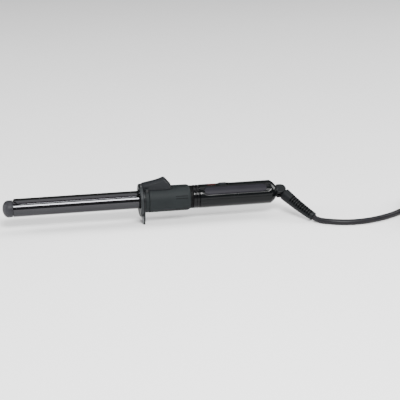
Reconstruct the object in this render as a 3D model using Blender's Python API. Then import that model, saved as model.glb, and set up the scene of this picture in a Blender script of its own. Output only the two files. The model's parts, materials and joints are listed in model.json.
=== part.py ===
"""Curling iron with a spring clip, a barrel unit that turns on its handle, and a swivelling mains lead.

The barrel's axis runs along X, from the cool tip at -X to the cord at +X.
The origin is the middle of the stand foot's bottom edge, so the iron stands on Z = 0.
"""

import math

import bmesh
import bpy
from mathutils import Matrix, Vector

MM = 0.001
GAP = 0.3 * MM
RUNNING_CLEARANCE = 0.3 * MM
SLOT_CLEARANCE = 0.5 * MM

# Barrel and tip
AXIS_HEIGHT = 27.0 * MM
BARREL_RADIUS = 9.5 * MM
BARREL_WALL = 1.2 * MM
BARREL_LENGTH = 148.4 * MM
BARREL_ROOT_X = 3.0 * MM
TIP_LENGTH = 11.6 * MM
TIP_DOME_LENGTH = 6.5 * MM
TIP_SPIGOT_LENGTH = 5.5 * MM

# Heater
HEATER_LENGTH = 110.0 * MM
HEATER_HALF_WIDTH = 6.0 * MM
HEATER_THICKNESS = 2.2 * MM
HEATER_FRONT_SETBACK = 16.0 * MM
SPREADER_EXTRA_LENGTH = 4.0 * MM

# Clip
CLIP_THICKNESS = 1.1 * MM
CLIP_HALF_ANGLE = 48.0
CLIP_TIP_HALF_ANGLE = 22.0
CLIP_TIP_TAPER = 6.2 * MM
CLIP_TIP_SETBACK = 0.8 * MM
CLIP_STRAP_HALF_WIDTH = 5.3 * MM
CLIP_STRAP_END_X = 15.0 * MM
RIVET_RADIUS = 1.1 * MM
RIVET_HEAD_RADIUS = 2.0 * MM
RIVET_HEAD_HEIGHT = 0.6 * MM
RIVET_SPACING = 4.5 * MM

# Hand guard, stand foot and hinge collar
FLANGE_RIM = 9.15 * MM
FLANGE_RADIUS = BARREL_RADIUS + FLANGE_RIM
FLANGE_THICKNESS = 3.4 * MM
FLANGE_BACK_X = -1.4 * MM
FLANGE_NOTCH_HALF_WIDTH = 6.5 * MM
FOOT_THICKNESS = 1.8 * MM
FOOT_BOTTOM_HALF_WIDTH = 9.0 * MM
FOOT_RING_INSET = 0.2 * MM
COLLAR_WALL = 4.9 * MM
COLLAR_RADIUS = BARREL_RADIUS + COLLAR_WALL
COLLAR_LENGTH = 4.2 * MM
EAR_THICKNESS = 2.0 * MM
PIN_RADIUS = 1.5 * MM
PIN_ABOVE_CLIP = 2.5 * MM
PIN_HEIGHT = BARREL_RADIUS + GAP + CLIP_THICKNESS + PIN_ABOVE_CLIP
PIN_WALL = 2.4 * MM

# Grip sleeve, turning bush and thumb lever
LEVER_HALF_WIDTH = 6.5 * MM
LEVER_CLEARANCE = 0.9 * MM
LEVER_LENGTH = 34.6 * MM
LEVER_NOSE_NARROWING = 0.5 * MM
SLEEVE_OVER_COLLAR = 0.35 * MM
SLEEVE_RADIUS = COLLAR_RADIUS + SLEEVE_OVER_COLLAR
SLEEVE_WALL = 2.2 * MM
SLEEVE_BEHIND_LEVER = 12.3 * MM
SLEEVE_LENGTH = LEVER_LENGTH + SLEEVE_BEHIND_LEVER
SLEEVE_CHAMFER = 2.6 * MM
SLEEVE_END_STEP = 1.25 * MM
SLEEVE_END_RADIUS = SLEEVE_RADIUS - SLEEVE_END_STEP
BUSH_LENGTH = 14.7 * MM
BUSH_FLANGE_STEP = 0.4 * MM
HOLDER_HUB_RADIUS = 3.6 * MM
HOLDER_BORE_RADIUS = 2.2 * MM
HOLDER_STEP_RADIUS = 6.0 * MM
HOLDER_DISC_THICKNESS = 3.0 * MM
LEVER_PEAK_ABOVE_PIN = 12.4 * MM
LEVER_PEAK_HEIGHT = PIN_HEIGHT + LEVER_PEAK_ABOVE_PIN
SPRING_RADIUS = 2.6 * MM
SPRING_WIRE_RADIUS = 0.4 * MM
SPRING_TURNS = 6
SPRING_FROM_PIN = 17.7 * MM

# Handle
SPINDLE_RADIUS = 7.0 * MM
SPINDLE_BORE_RADIUS = 4.5 * MM
NECK_GAP = 3.5 * MM
BUSH_FACE_GAP = 0.5 * MM
NECK_RING_LENGTH = 7.2 * MM
NECK_RING_RADIUS = 13.3 * MM
HANDLE_RADIUS = 13.45 * MM
HANDLE_WALL = 1.8 * MM
HANDLE_LENGTH = 89.9 * MM
HANDLE_DOME_LENGTH = 7.2 * MM
DOME_SQUARENESS = 1.3
HANDLE_SPLIT_ANGLE = 0.7
PANEL_SETBACK = 5.2 * MM
PANEL_END_SETBACK = 8.3 * MM
PANEL_LENGTH = HANDLE_LENGTH - PANEL_SETBACK - PANEL_END_SETBACK
PANEL_MIDDLE_ANGLE = 45.5
PANEL_HALF_ANGLE = 21.5
PANEL_END_LENGTH = 5.0 * MM
PANEL_THICKNESS = 0.55 * MM
PANEL_SINK = 0.2 * MM
LENS_FROM_FRONT = 9.4 * MM
LENS_LENGTH = 10.0 * MM
LENS_HALF_ANGLE = 9.5
BOARD_HALF_WIDTH = 9.5 * MM
BOARD_SETBACK = 8.6 * MM
BOARD_END_SETBACK = 19.3 * MM
BOARD_LENGTH = HANDLE_LENGTH - BOARD_SETBACK - BOARD_END_SETBACK
BOARD_THICKNESS = 1.6 * MM
SWITCH_FROM_FRONT = 23.6 * MM
SWITCH_KNOB_LENGTH = 8.2 * MM
SWITCH_HALF_WIDTH = 2.6 * MM
SWITCH_TRAVEL = 3.0 * MM
SWITCH_PROUD = 0.8 * MM
SCREW_RADIUS = 1.3 * MM
SCREW_HEAD_RADIUS = 2.3 * MM
SCREW_FROM_END = 10.5 * MM
BOSS_WALL = 1.5 * MM

# Swivel neck and strain relief
NECK_RADIUS = 6.6 * MM
NECK_LENGTH = 1.6 * MM
KNUCKLE_RADIUS = 6.1 * MM
KNUCKLE_HALF_THICKNESS = 5.4 * MM
PIVOT_SETBACK = 5.7 * MM
PIN_END_WALL = 1.0 * MM
NECK_WALL_RADIUS = 6.0 * MM
NECK_COLLAR_RADIUS = 8.3 * MM
NECK_COLLAR_THICKNESS = 1.8 * MM
NECK_BORE_RADIUS = 2.0 * MM
FORK_SLOT_WIDTH = 4.6 * MM
RELIEF_EYE_RADIUS = 4.6 * MM
RELIEF_START = KNUCKLE_RADIUS + GAP
RELIEF_LENGTH = 51.0 * MM
RELIEF_START_RADIUS = 6.9 * MM
RELIEF_END_RADIUS = 4.95 * MM
RELIEF_TILT = 53.2
RELIEF_SIDE_ANGLE = 31.5

# Cord, its coil and its plug
CORD_RADIUS = 3.25 * MM
CORD_POINT_SPACING = 8.0 * MM
COIL_CENTRE = Vector((357.0, -30.0, 0.0)) * MM
COIL_MEAN_RADIUS = 39.0 * MM
COIL_COLUMNS = 3
COIL_LAYERS = 3
COIL_LIFT = 1.0 * MM
TIE_THICKNESS = 0.6 * MM
TIE_HALF_WIDTH = 4.0 * MM
TIE_ANGLE = 122.0
PLUG_HALF_WIDTH = 17.5 * MM
PLUG_HALF_THICKNESS = 7.0 * MM
PLUG_LENGTH = 36.0 * MM
PLUG_PIN_RADIUS = 2.0 * MM
PLUG_PIN_LENGTH = 19.0 * MM
PLUG_PIN_SPACING = 18.6 * MM
PLUG_ANGLE = 141.0

# Places that follow from the sizes
BARREL_TIP_X = BARREL_ROOT_X - BARREL_LENGTH
CLIP_INNER_RADIUS = BARREL_RADIUS + GAP
CLIP_OUTER_RADIUS = CLIP_INNER_RADIUS + CLIP_THICKNESS
COLLAR_START_X = FOOT_THICKNESS / 2 + GAP
COLLAR_END_X = COLLAR_START_X + COLLAR_LENGTH
PIN_X = (COLLAR_START_X + COLLAR_END_X) / 2
SLEEVE_START_X = COLLAR_END_X + GAP
SLEEVE_END_X = SLEEVE_START_X + SLEEVE_LENGTH
SLEEVE_INNER_RADIUS = SLEEVE_RADIUS - SLEEVE_WALL
LEVER_START_X = FLANGE_BACK_X - 1.2 * MM
LEVER_END_X = LEVER_START_X + LEVER_LENGTH
HOLDER_END_X = LEVER_END_X + 1.2 * MM + HOLDER_DISC_THICKNESS
SPINDLE_START_X = HOLDER_END_X + 1.3 * MM
SPINDLE_HOLE_RADIUS = SPINDLE_RADIUS + RUNNING_CLEARANCE
NECK_RING_X = SLEEVE_END_X + NECK_GAP
HANDLE_START_X = NECK_RING_X + NECK_RING_LENGTH + GAP
HANDLE_END_X = HANDLE_START_X + HANDLE_LENGTH
HANDLE_INNER_RADIUS = HANDLE_RADIUS - HANDLE_WALL
PANEL_OUTER_RADIUS = HANDLE_RADIUS - PANEL_SINK
PANEL_START_X = HANDLE_START_X + PANEL_SETBACK
NECK_START_X = HANDLE_END_X + GAP
NECK_END_X = NECK_START_X + NECK_LENGTH
PIVOT_X = NECK_START_X + PIVOT_SETBACK
PIVOT = Vector((PIVOT_X, 0.0, AXIS_HEIGHT))

# The strain relief leans sideways and down from the handle's axis, and its pin stands across both.
LEAN = Vector((0.0, -math.cos(math.radians(RELIEF_SIDE_ANGLE)), -math.sin(math.radians(RELIEF_SIDE_ANGLE))))
RELIEF_DIRECTION = (
    Vector((1, 0, 0)) * math.cos(math.radians(RELIEF_TILT)) + LEAN * math.sin(math.radians(RELIEF_TILT))
)
PIN_DIRECTION = Vector((1, 0, 0)).cross(LEAN)
CORD_START = PIVOT + RELIEF_DIRECTION * (RELIEF_LENGTH + GAP)

# The cord leaves the relief, sinks to the floor and runs in one loose bend to the coil.
CORD_ROUTE = [
    tuple(CORD_START),
    tuple(CORD_START + RELIEF_DIRECTION * 3.0 * MM),
    (0.1968, -0.0415, 0.0034),
    (0.2066, -0.0468, 0.0034),
    (0.2170, -0.0505, 0.0034),
    (0.2282, -0.0526, 0.0034),
    (0.2400, -0.0527, 0.0034),
    (0.2525, -0.0508, 0.0034),
    (0.2657, -0.0470, 0.0034),
    (0.2799, -0.0407, 0.0034),
    (0.2923, -0.0335, 0.0035),
    (0.3040, -0.0242, 0.0038),
]

# The last turn lies on top of the coil: angle in degrees, then radius and height over the coil's top.
TAIL_ROUTE = [
    (96, 33.5 * MM, 3.6 * MM),
    (70, 35.5 * MM, 3.6 * MM),
    (45, 37.5 * MM, 3.6 * MM),
    (20, 39.3 * MM, 3.6 * MM),
    (-5, 40.8 * MM, 3.6 * MM),
    (-30, 42.0 * MM, 3.7 * MM),
    (-52, 42.8 * MM, 4.6 * MM),
    (-70, 43.0 * MM, 6.2 * MM),
]


def finish(name, colour, roughness, metallic=0.0):
    """A plain Principled material."""
    material = bpy.data.materials.new(name)
    material.use_nodes = True
    shader = material.node_tree.nodes["Principled BSDF"]
    shader.inputs["Base Color"].default_value = (*colour, 1.0)
    shader.inputs["Roughness"].default_value = roughness
    shader.inputs["Metallic"].default_value = metallic
    material.diffuse_color = (*colour, 1.0)
    return material


def turned_frame(origin, direction, side=Vector((0, 0, 1))):
    """A frame whose X axis lies along direction, with its Z axis as near to side as it can be."""
    forward = Vector(direction).normalized()
    across = side.cross(forward).normalized()
    upright = forward.cross(across)
    rotation = Matrix((forward, across, upright)).transposed()
    return Matrix.Translation(origin) @ rotation.to_4x4()


BARREL_FRAME = turned_frame(Vector((0, 0, AXIS_HEIGHT)), Vector((1, 0, 0)))


def new_object(name, mesh, material, place=None):
    """Links a mesh as a named object, with its faces out, smooth where its faces meet gently."""
    work = bmesh.new()
    work.from_mesh(mesh)
    bmesh.ops.recalc_face_normals(work, faces=work.faces)
    work.to_mesh(mesh)
    work.free()
    mesh.materials.append(material)
    mesh.shade_smooth()
    mesh.set_sharp_from_angle(angle=math.radians(35))
    made = bpy.data.objects.new(name, mesh)
    bpy.context.scene.collection.objects.link(made)
    if place is not None:
        made.matrix_world = place
    return made


def mesh_from(name, corners, faces):
    mesh = bpy.data.meshes.new(name)
    mesh.from_pydata([tuple(corner) for corner in corners], [], faces)
    return mesh


def turned(name, profile, material, place=BARREL_FRAME, sides=32, sweep=None):
    """Turns a profile of (x, radius) about X: closed when hollow, from axis to axis when solid.

    A sweep of two angles, measured from the top, makes only that part of the turn and caps it.
    """
    count = sides if sweep is None else sides + 1
    first, last = (0.0, 360.0) if sweep is None else sweep
    angles = [math.radians(first + (last - first) * step / sides) for step in range(count)]
    corners = []
    rings = []
    for x, radius in profile:
        if radius == 0.0:
            rings.append([len(corners)] * count)
            corners.append((x, 0.0, 0.0))
            continue
        rings.append([len(corners) + step for step in range(count)])
        corners += [(x, -radius * math.sin(angle), radius * math.cos(angle)) for angle in angles]
    solid_to_axis = profile[0][1] == 0.0
    pairs = list(zip(rings, rings[1:]))
    if not solid_to_axis:
        pairs.append((rings[-1], rings[0]))
    faces = []
    for near, far in pairs:
        for step in range(sides):
            after = (step + 1) % count
            loop = [near[step], near[after], far[after], far[step]]
            face = list(dict.fromkeys(loop))
            if len(face) > 2:
                faces.append(face)
    if sweep is not None:
        faces.append([ring[0] for ring in rings])
        faces.append([ring[-1] for ring in rings])
    return new_object(name, mesh_from(name, corners, faces), material, place)


def lofted(name, sections, material, place=BARREL_FRAME):
    """Skins sections of equal corner count, and closes both ends."""
    corners = [corner for section in sections for corner in section]
    count = len(sections[0])
    faces = [list(range(count)), list(range(len(corners) - count, len(corners)))]
    for index in range(len(sections) - 1):
        start = index * count
        for step in range(count):
            after = (step + 1) % count
            faces.append([start + step, start + after, start + count + after, start + count + step])
    return new_object(name, mesh_from(name, corners, faces), material, place)


def plate(name, outline, low, high, material, along="X", place=BARREL_FRAME):
    """Extrudes an outline between two heights along X (outline in Y, Z), Y (X, Z) or Z (X, Y)."""
    order = {
        "X": lambda a, b, h: (h, a, b),
        "Y": lambda a, b, h: (a, h, b),
        "Z": lambda a, b, h: (a, b, h),
    }[along]
    sections = [[order(a, b, height) for a, b in outline] for height in (low, high)]
    return lofted(name, sections, material, place)


def block(name, low, high, material, place=BARREL_FRAME):
    outline = [(low[1], low[2]), (high[1], low[2]), (high[1], high[2]), (low[1], high[2])]
    return plate(name, outline, low[0], high[0], material, "X", place)


def rod(name, centre, direction, length, radius, material, sides=24):
    """A plain round bar, centred, lying along a world direction."""
    side = Vector((1, 0, 0)) if abs(Vector(direction).normalized().z) > 0.9 else Vector((0, 0, 1))
    frame = turned_frame(Vector(centre), direction, side)
    profile = [(-length / 2, 0.0), (-length / 2, radius), (length / 2, radius), (length / 2, 0.0)]
    return turned(name, profile, material, frame, sides)


def curved_sheet(name, stations, inner, outer, material, middle=0.0, steps=10):
    """A sheet bent round the barrel axis; each station is (x, half angle in degrees)."""
    sections = []
    for x, half in stations:
        angles = [math.radians(middle - half + 2 * half * step / steps) for step in range(steps + 1)]
        outside = [(x, -outer * math.sin(a), outer * math.cos(a)) for a in angles]
        inside = [(x, -inner * math.sin(a), inner * math.cos(a)) for a in reversed(angles)]
        sections.append(outside + inside)
    return lofted(name, sections, material)


def apply_tool(target, tool, operation):
    """Cuts a tool from the target, or joins it on, and keeps the tool out of the build."""
    tool.hide_render = True
    tool.display_type = "WIRE"
    modifier = target.modifiers.new(tool.name, "BOOLEAN")
    modifier.operation = operation
    modifier.solver = "EXACT"
    modifier.object = tool


def cut(target, *tools):
    for tool in tools:
        apply_tool(target, tool, "DIFFERENCE")


def join(target, *tools):
    for tool in tools:
        apply_tool(target, tool, "UNION")


def smooth_points(route, spacing):
    """Points at an even spacing on a smooth curve through the route's own points."""
    route = [Vector(point) for point in route]
    padded = [2 * route[0] - route[1]] + route + [2 * route[-1] - route[-2]]
    fine = []
    parts = 24
    for before, start, end, after in zip(padded, padded[1:], padded[2:], padded[3:]):
        for part in range(parts):
            t = part / parts
            fine.append(
                0.5 * (2 * start + (end - before) * t
                       + (2 * before - 5 * start + 4 * end - after) * t ** 2
                       + (3 * start - before - 3 * end + after) * t ** 3)
            )
    fine.append(route[-1])
    length = sum((b - a).length for a, b in zip(fine, fine[1:]))
    count = max(2, round(length / spacing))
    points = [fine[0]]
    travelled = 0.0
    for a, b in zip(fine, fine[1:]):
        travelled += (b - a).length
        if travelled >= length * len(points) / count and len(points) < count:
            points.append(b)
    points.append(fine[-1])
    return points


def cord_tube(name, points, radius, material):
    curve = bpy.data.curves.new(name, "CURVE")
    curve.dimensions = "3D"
    curve.bevel_depth = radius
    curve.bevel_resolution = 2
    curve.use_fill_caps = True
    spline = curve.splines.new("POLY")
    spline.points.add(len(points) - 1)
    for slot, point in zip(spline.points, points):
        slot.co = (*point, 1.0)
    curve.materials.append(material)
    made = bpy.data.objects.new(name, curve)
    bpy.context.scene.collection.objects.link(made)
    return made


def rounded_outline(half_width, half_height, sides=20, squareness=3.0):
    """Corners of a soft rectangle round the origin, as (a, b) pairs."""
    corners = []
    for step in range(sides):
        angle = 2 * math.pi * step / sides
        a = math.copysign(abs(math.cos(angle)) ** (2 / squareness), math.cos(angle))
        b = math.copysign(abs(math.sin(angle)) ** (2 / squareness), math.sin(angle))
        corners.append((half_width * a, half_height * b))
    return corners


def make_barrel(finishes):
    inner = BARREL_RADIUS - BARREL_WALL
    turned("barrel_tube", [
        (BARREL_TIP_X, inner),
        (BARREL_TIP_X, BARREL_RADIUS),
        (BARREL_ROOT_X, BARREL_RADIUS),
        (BARREL_ROOT_X, inner),
    ], finishes["dark_metal"], sides=40)
    cap_end = BARREL_TIP_X - GAP
    cap_start = BARREL_TIP_X - TIP_LENGTH
    dome = []
    for step in range(7):
        angle = math.pi / 2 * step / 6
        x = cap_start + TIP_DOME_LENGTH * (1 - math.cos(angle))
        dome.append((x, BARREL_RADIUS * math.sin(angle)))
    spigot = inner - GAP
    turned("tip_cap", dome + [
        (cap_end, BARREL_RADIUS),
        (cap_end, spigot),
        (BARREL_TIP_X + TIP_SPIGOT_LENGTH, spigot),
        (BARREL_TIP_X + TIP_SPIGOT_LENGTH, 0.0),
    ], finishes["heatproof_plastic"])


def make_heater(finishes):
    start = BARREL_TIP_X + HEATER_FRONT_SETBACK
    half = HEATER_THICKNESS / 2
    block("heater_plate", (start, -HEATER_HALF_WIDTH, -half),
          (start + HEATER_LENGTH, HEATER_HALF_WIDTH, half), finishes["ceramic"])
    radius = BARREL_RADIUS - BARREL_WALL - GAP
    flat = half + GAP
    limit = math.asin(flat / radius)
    steps = 12
    arc = []
    for step in range(steps + 1):
        angle = limit + (math.pi - 2 * limit) * step / steps
        arc.append((radius * math.cos(angle), radius * math.sin(angle)))
    low = start - SPREADER_EXTRA_LENGTH / 2
    high = start + HEATER_LENGTH + SPREADER_EXTRA_LENGTH / 2
    plate("heat_spreader_upper", arc, low, high, finishes["aluminium"])
    plate("heat_spreader_lower", [(y, -z) for y, z in arc], low, high, finishes["aluminium"])


def make_barrel_holder(finishes):
    plug_radius = BARREL_RADIUS - BARREL_WALL - GAP
    turned("barrel_holder", [
        (BARREL_ROOT_X - 13.0 * MM, HOLDER_BORE_RADIUS),
        (BARREL_ROOT_X - 13.0 * MM, plug_radius),
        (BARREL_ROOT_X + 1.0 * MM, plug_radius),
        (BARREL_ROOT_X + 1.0 * MM, HOLDER_STEP_RADIUS),
        (BARREL_ROOT_X + 4.5 * MM, HOLDER_STEP_RADIUS),
        (BARREL_ROOT_X + 4.5 * MM, HOLDER_HUB_RADIUS),
        (HOLDER_END_X - HOLDER_DISC_THICKNESS, HOLDER_HUB_RADIUS),
        (HOLDER_END_X - HOLDER_DISC_THICKNESS, SLEEVE_INNER_RADIUS - GAP),
        (HOLDER_END_X, SLEEVE_INNER_RADIUS - GAP),
        (HOLDER_END_X, HOLDER_BORE_RADIUS),
    ], finishes["heatproof_plastic"])


def make_flange(finishes):
    back = FLANGE_BACK_X
    front = back - FLANGE_THICKNESS
    bore = BARREL_RADIUS + GAP
    edge = 0.6 * MM
    flange = turned("flange", [
        (front, bore),
        (front, FLANGE_RADIUS - edge),
        (front + edge, FLANGE_RADIUS),
        (back - edge, FLANGE_RADIUS),
        (back, FLANGE_RADIUS - edge),
        (back, bore),
    ], finishes["matte_plastic"], sides=40)
    notch = block("flange_notch", (front - MM, -FLANGE_NOTCH_HALF_WIDTH, BARREL_RADIUS / 2),
                  (back + MM, FLANGE_NOTCH_HALF_WIDTH, FLANGE_RADIUS + MM), finishes["matte_plastic"])
    cut(flange, notch)


def make_stand_foot(finishes):
    bore = BARREL_RADIUS + GAP
    ring = COLLAR_RADIUS - FOOT_RING_INSET
    gate = LEVER_HALF_WIDTH + LEVER_CLEARANCE
    outer_end = math.acos(gate / ring)
    inner_end = math.acos(gate / bore)
    steps = 6
    outer = [(ring * math.cos(outer_end * step / steps), ring * math.sin(outer_end * step / steps))
             for step in range(steps + 1)]
    inner_span = math.pi + 2 * inner_end
    inner = [(bore * math.cos(a), bore * math.sin(a))
             for a in [inner_end - inner_span * step / 24 for step in range(25)]]
    outline = [
        (-FOOT_BOTTOM_HALF_WIDTH, -AXIS_HEIGHT),
        (FOOT_BOTTOM_HALF_WIDTH, -AXIS_HEIGHT),
        *outer,
        *inner,
        *[(-y, z) for y, z in reversed(outer)],
    ]
    plate("stand_foot", outline, -FOOT_THICKNESS / 2, FOOT_THICKNESS / 2, finishes["satin_metal"])


def make_collar(finishes):
    bore = BARREL_RADIUS + GAP
    collar = turned("collar", [
        (COLLAR_START_X, bore),
        (COLLAR_START_X, COLLAR_RADIUS),
        (COLLAR_END_X, COLLAR_RADIUS),
        (COLLAR_END_X, bore),
    ], finishes["matte_plastic"])
    inner = LEVER_HALF_WIDTH + LEVER_CLEARANCE
    outer = inner + EAR_THICKNESS
    top = PIN_HEIGHT + PIN_WALL
    ears = [
        block(f"collar_ear_{name}", (COLLAR_START_X, side * inner, bore * 0.8),
              (COLLAR_END_X, side * outer, top), finishes["matte_plastic"])
        for name, side in (("near", -1), ("far", 1))
    ]
    join(collar, *ears)
    gate = block("collar_gate", (COLLAR_START_X - MM, -inner, bore * 0.6),
                 (COLLAR_END_X + MM, inner, top + MM), finishes["matte_plastic"])
    hole = rod("collar_pin_hole", (PIN_X, 0, AXIS_HEIGHT + PIN_HEIGHT), (0, 1, 0),
               2 * outer + 2 * MM, PIN_RADIUS + RUNNING_CLEARANCE, finishes["matte_plastic"])
    cut(collar, gate, hole)
    rod("lever_pin", (PIN_X, 0, AXIS_HEIGHT + PIN_HEIGHT), (0, 1, 0),
        2 * outer, PIN_RADIUS, finishes["steel"])


def make_sleeve(finishes):
    sleeve = turned("grip_sleeve", [
        (SLEEVE_START_X, SLEEVE_INNER_RADIUS),
        (SLEEVE_START_X, SLEEVE_RADIUS),
        (SLEEVE_END_X - SLEEVE_CHAMFER, SLEEVE_RADIUS),
        (SLEEVE_END_X, SLEEVE_END_RADIUS),
        (SLEEVE_END_X, SLEEVE_INNER_RADIUS),
    ], finishes["soft_grip"], sides=40)
    half = LEVER_HALF_WIDTH + LEVER_CLEARANCE
    slot_end = LEVER_END_X + 0.8 * MM
    corner = 3.0 * MM
    outline = [(SLEEVE_START_X - MM, -half), (slot_end - corner, -half)]
    for step in range(1, 6):
        angle = math.pi / 2 * step / 6
        outline.append((slot_end - corner + corner * math.sin(angle),
                        -half + corner - corner * math.cos(angle)))
    outline += [(x, -y) for x, y in reversed(outline)]
    slot = plate("sleeve_slot", outline, SLEEVE_INNER_RADIUS / 2, SLEEVE_RADIUS + MM,
                 finishes["soft_grip"], "Z")
    cut(sleeve, slot)


def make_turning_bush(finishes):
    end = NECK_RING_X - BUSH_FACE_GAP
    start = end - BUSH_LENGTH
    bush = turned("turning_bush", [
        (start, SPINDLE_HOLE_RADIUS),
        (start, SLEEVE_INNER_RADIUS - GAP),
        (SLEEVE_END_X + GAP, SLEEVE_INNER_RADIUS - GAP),
        (SLEEVE_END_X + GAP, SLEEVE_END_RADIUS - BUSH_FLANGE_STEP),
        (end, SLEEVE_END_RADIUS - BUSH_FLANGE_STEP),
        (end, SPINDLE_HOLE_RADIUS),
    ], finishes["bearing_plastic"])
    middle = (start + SLEEVE_END_X) / 2
    head_depth = 1.3 * MM
    head_bottom = SLEEVE_RADIUS - 0.3 * MM
    tip = SPINDLE_HOLE_RADIUS + 1.2 * MM
    place = turned_frame(Vector((middle, 0, AXIS_HEIGHT)), Vector((0, 0, -1)), Vector((1, 0, 0)))
    profile = [
        (tip, 0.0),
        (tip, SCREW_RADIUS),
        (head_bottom - head_depth, SCREW_RADIUS),
        (head_bottom - head_depth, SCREW_HEAD_RADIUS),
        (head_bottom, SCREW_HEAD_RADIUS),
        (head_bottom, 0.0),
    ]
    turned("bush_screw", profile, finishes["steel"], place, 24)
    hole = turned("bush_screw_hole", [
        (tip - 0.8 * MM, 0.0),
        (tip - 0.8 * MM, SCREW_RADIUS + GAP),
        (head_bottom - head_depth - GAP, SCREW_RADIUS + GAP),
        (head_bottom - head_depth - GAP, SCREW_HEAD_RADIUS + GAP),
        (SLEEVE_RADIUS + MM, SCREW_HEAD_RADIUS + GAP),
        (SLEEVE_RADIUS + MM, 0.0),
    ], finishes["steel"], place, 24)
    cut(bpy.data.objects["grip_sleeve"], hole)
    cut(bush, hole)


def make_clip(finishes):
    """The half-round sheet on the barrel, and the strap that carries it under the thumb lever."""
    start = BARREL_TIP_X + CLIP_TIP_SETBACK
    end = FLANGE_BACK_X - FLANGE_THICKNESS - 2 * GAP
    stations = [(start, CLIP_TIP_HALF_ANGLE)]
    steps = 4
    for step in range(1, steps + 1):
        share = step / steps
        half = CLIP_TIP_HALF_ANGLE + (CLIP_HALF_ANGLE - CLIP_TIP_HALF_ANGLE) * math.sin(share * math.pi / 2)
        stations.append((start + CLIP_TIP_TAPER * share, half))
    stations.append((end, CLIP_HALF_ANGLE))
    clip = curved_sheet("clip", stations, CLIP_INNER_RADIUS, CLIP_OUTER_RADIUS, finishes["dark_metal"])
    strap_low = CLIP_INNER_RADIUS + 0.05 * MM
    strap_high = CLIP_OUTER_RADIUS - 0.05 * MM
    strap = block("clip_strap", (end - 8.0 * MM, -CLIP_STRAP_HALF_WIDTH, strap_low),
                  (CLIP_STRAP_END_X, CLIP_STRAP_HALF_WIDTH, strap_high), finishes["dark_metal"])
    join(clip, strap)
    return clip, strap_low, strap_high


def lever_section(x, bottom, side_top, crown, half_width):
    shoulder = side_top + 0.75 * (crown - side_top)
    outline = [
        (-half_width, bottom),
        (-half_width, side_top),
        (-0.55 * half_width, shoulder),
        (0.0, crown),
        (0.55 * half_width, shoulder),
        (half_width, side_top),
        (half_width, bottom),
    ]
    return [(x, y, z) for y, z in outline]


def make_thumb_lever(finishes, clip, strap_low, strap_high):
    bottom = strap_high + GAP
    peak = LEVER_PEAK_HEIGHT
    start = LEVER_START_X
    end = LEVER_END_X
    peak_x = start + 0.734 * LEVER_LENGTH
    nose = LEVER_HALF_WIDTH - LEVER_NOSE_NARROWING
    rear_bottom = bottom + 1.1 * MM
    lever = lofted("thumb_lever", [
        lever_section(start, bottom, peak - 8.0 * MM, peak - 7.0 * MM, nose),
        lever_section(FLANGE_BACK_X + 0.8 * MM, bottom, peak - 7.4 * MM, peak - 6.2 * MM, nose),
        lever_section(FLANGE_BACK_X + 1.6 * MM, bottom, peak - 7.2 * MM, peak - 5.9 * MM, LEVER_HALF_WIDTH),
        lever_section(start + 0.584 * LEVER_LENGTH, bottom, peak - 4.2 * MM, peak - 2.0 * MM,
                      LEVER_HALF_WIDTH),
        lever_section(peak_x, rear_bottom, peak - 2.4 * MM, peak, LEVER_HALF_WIDTH),
        lever_section(peak_x + 1.2 * MM, rear_bottom, peak - 3.2 * MM, peak - 0.8 * MM, LEVER_HALF_WIDTH),
        lever_section(end - 3.2 * MM, rear_bottom, peak - 7.7 * MM, peak - 6.1 * MM, LEVER_HALF_WIDTH),
        lever_section(end - 1.2 * MM, rear_bottom, peak - 10.1 * MM, peak - 8.7 * MM, LEVER_HALF_WIDTH),
        lever_section(end - 0.4 * MM, rear_bottom, peak - 11.3 * MM, peak - 10.2 * MM,
                      LEVER_HALF_WIDTH - 0.4 * MM),
        lever_section(end, rear_bottom, peak - 12.4 * MM, peak - 11.6 * MM, LEVER_HALF_WIDTH - MM),
    ], finishes["matte_plastic"])
    hole = rod("lever_pin_hole", (PIN_X, 0, AXIS_HEIGHT + PIN_HEIGHT), (0, 1, 0),
               2 * LEVER_HALF_WIDTH + 2 * MM, PIN_RADIUS + RUNNING_CLEARANCE, finishes["matte_plastic"])
    pocket_top = peak - 8.6 * MM
    pocket = block("lever_pocket", (CLIP_STRAP_END_X + 1.5 * MM, -LEVER_HALF_WIDTH + 1.7 * MM, bottom - MM),
                   (end - 3.0 * MM, LEVER_HALF_WIDTH - 1.7 * MM, pocket_top), finishes["matte_plastic"])
    cut(lever, hole, pocket)
    make_rivets(finishes, clip, lever, strap_low, strap_high)
    make_spring(finishes, pocket_top)


def make_rivets(finishes, clip, lever, strap_low, strap_high):
    last_x = CLIP_STRAP_END_X - 2.4 * MM
    for name, x in (("front", last_x - RIVET_SPACING), ("rear", last_x)):
        place = turned_frame(Vector((x, 0, AXIS_HEIGHT)), Vector((0, 0, 1)), Vector((1, 0, 0)))
        head_top = strap_low - GAP
        top = strap_high + 4.0 * MM
        turned(f"clip_rivet_{name}", [
            (head_top - RIVET_HEAD_HEIGHT, 0.0),
            (head_top - RIVET_HEAD_HEIGHT, RIVET_HEAD_RADIUS),
            (head_top, RIVET_HEAD_RADIUS),
            (head_top, RIVET_RADIUS),
            (top, RIVET_RADIUS),
            (top, 0.0),
        ], finishes["steel"], place, 20)
        hole = rod(f"rivet_hole_{name}", (x, 0, AXIS_HEIGHT + (head_top + top + 0.4 * MM) / 2), (0, 0, 1),
                   top - head_top + 0.4 * MM, RIVET_RADIUS + GAP, finishes["steel"])
        cut(clip, hole)
        cut(lever, hole)


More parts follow.
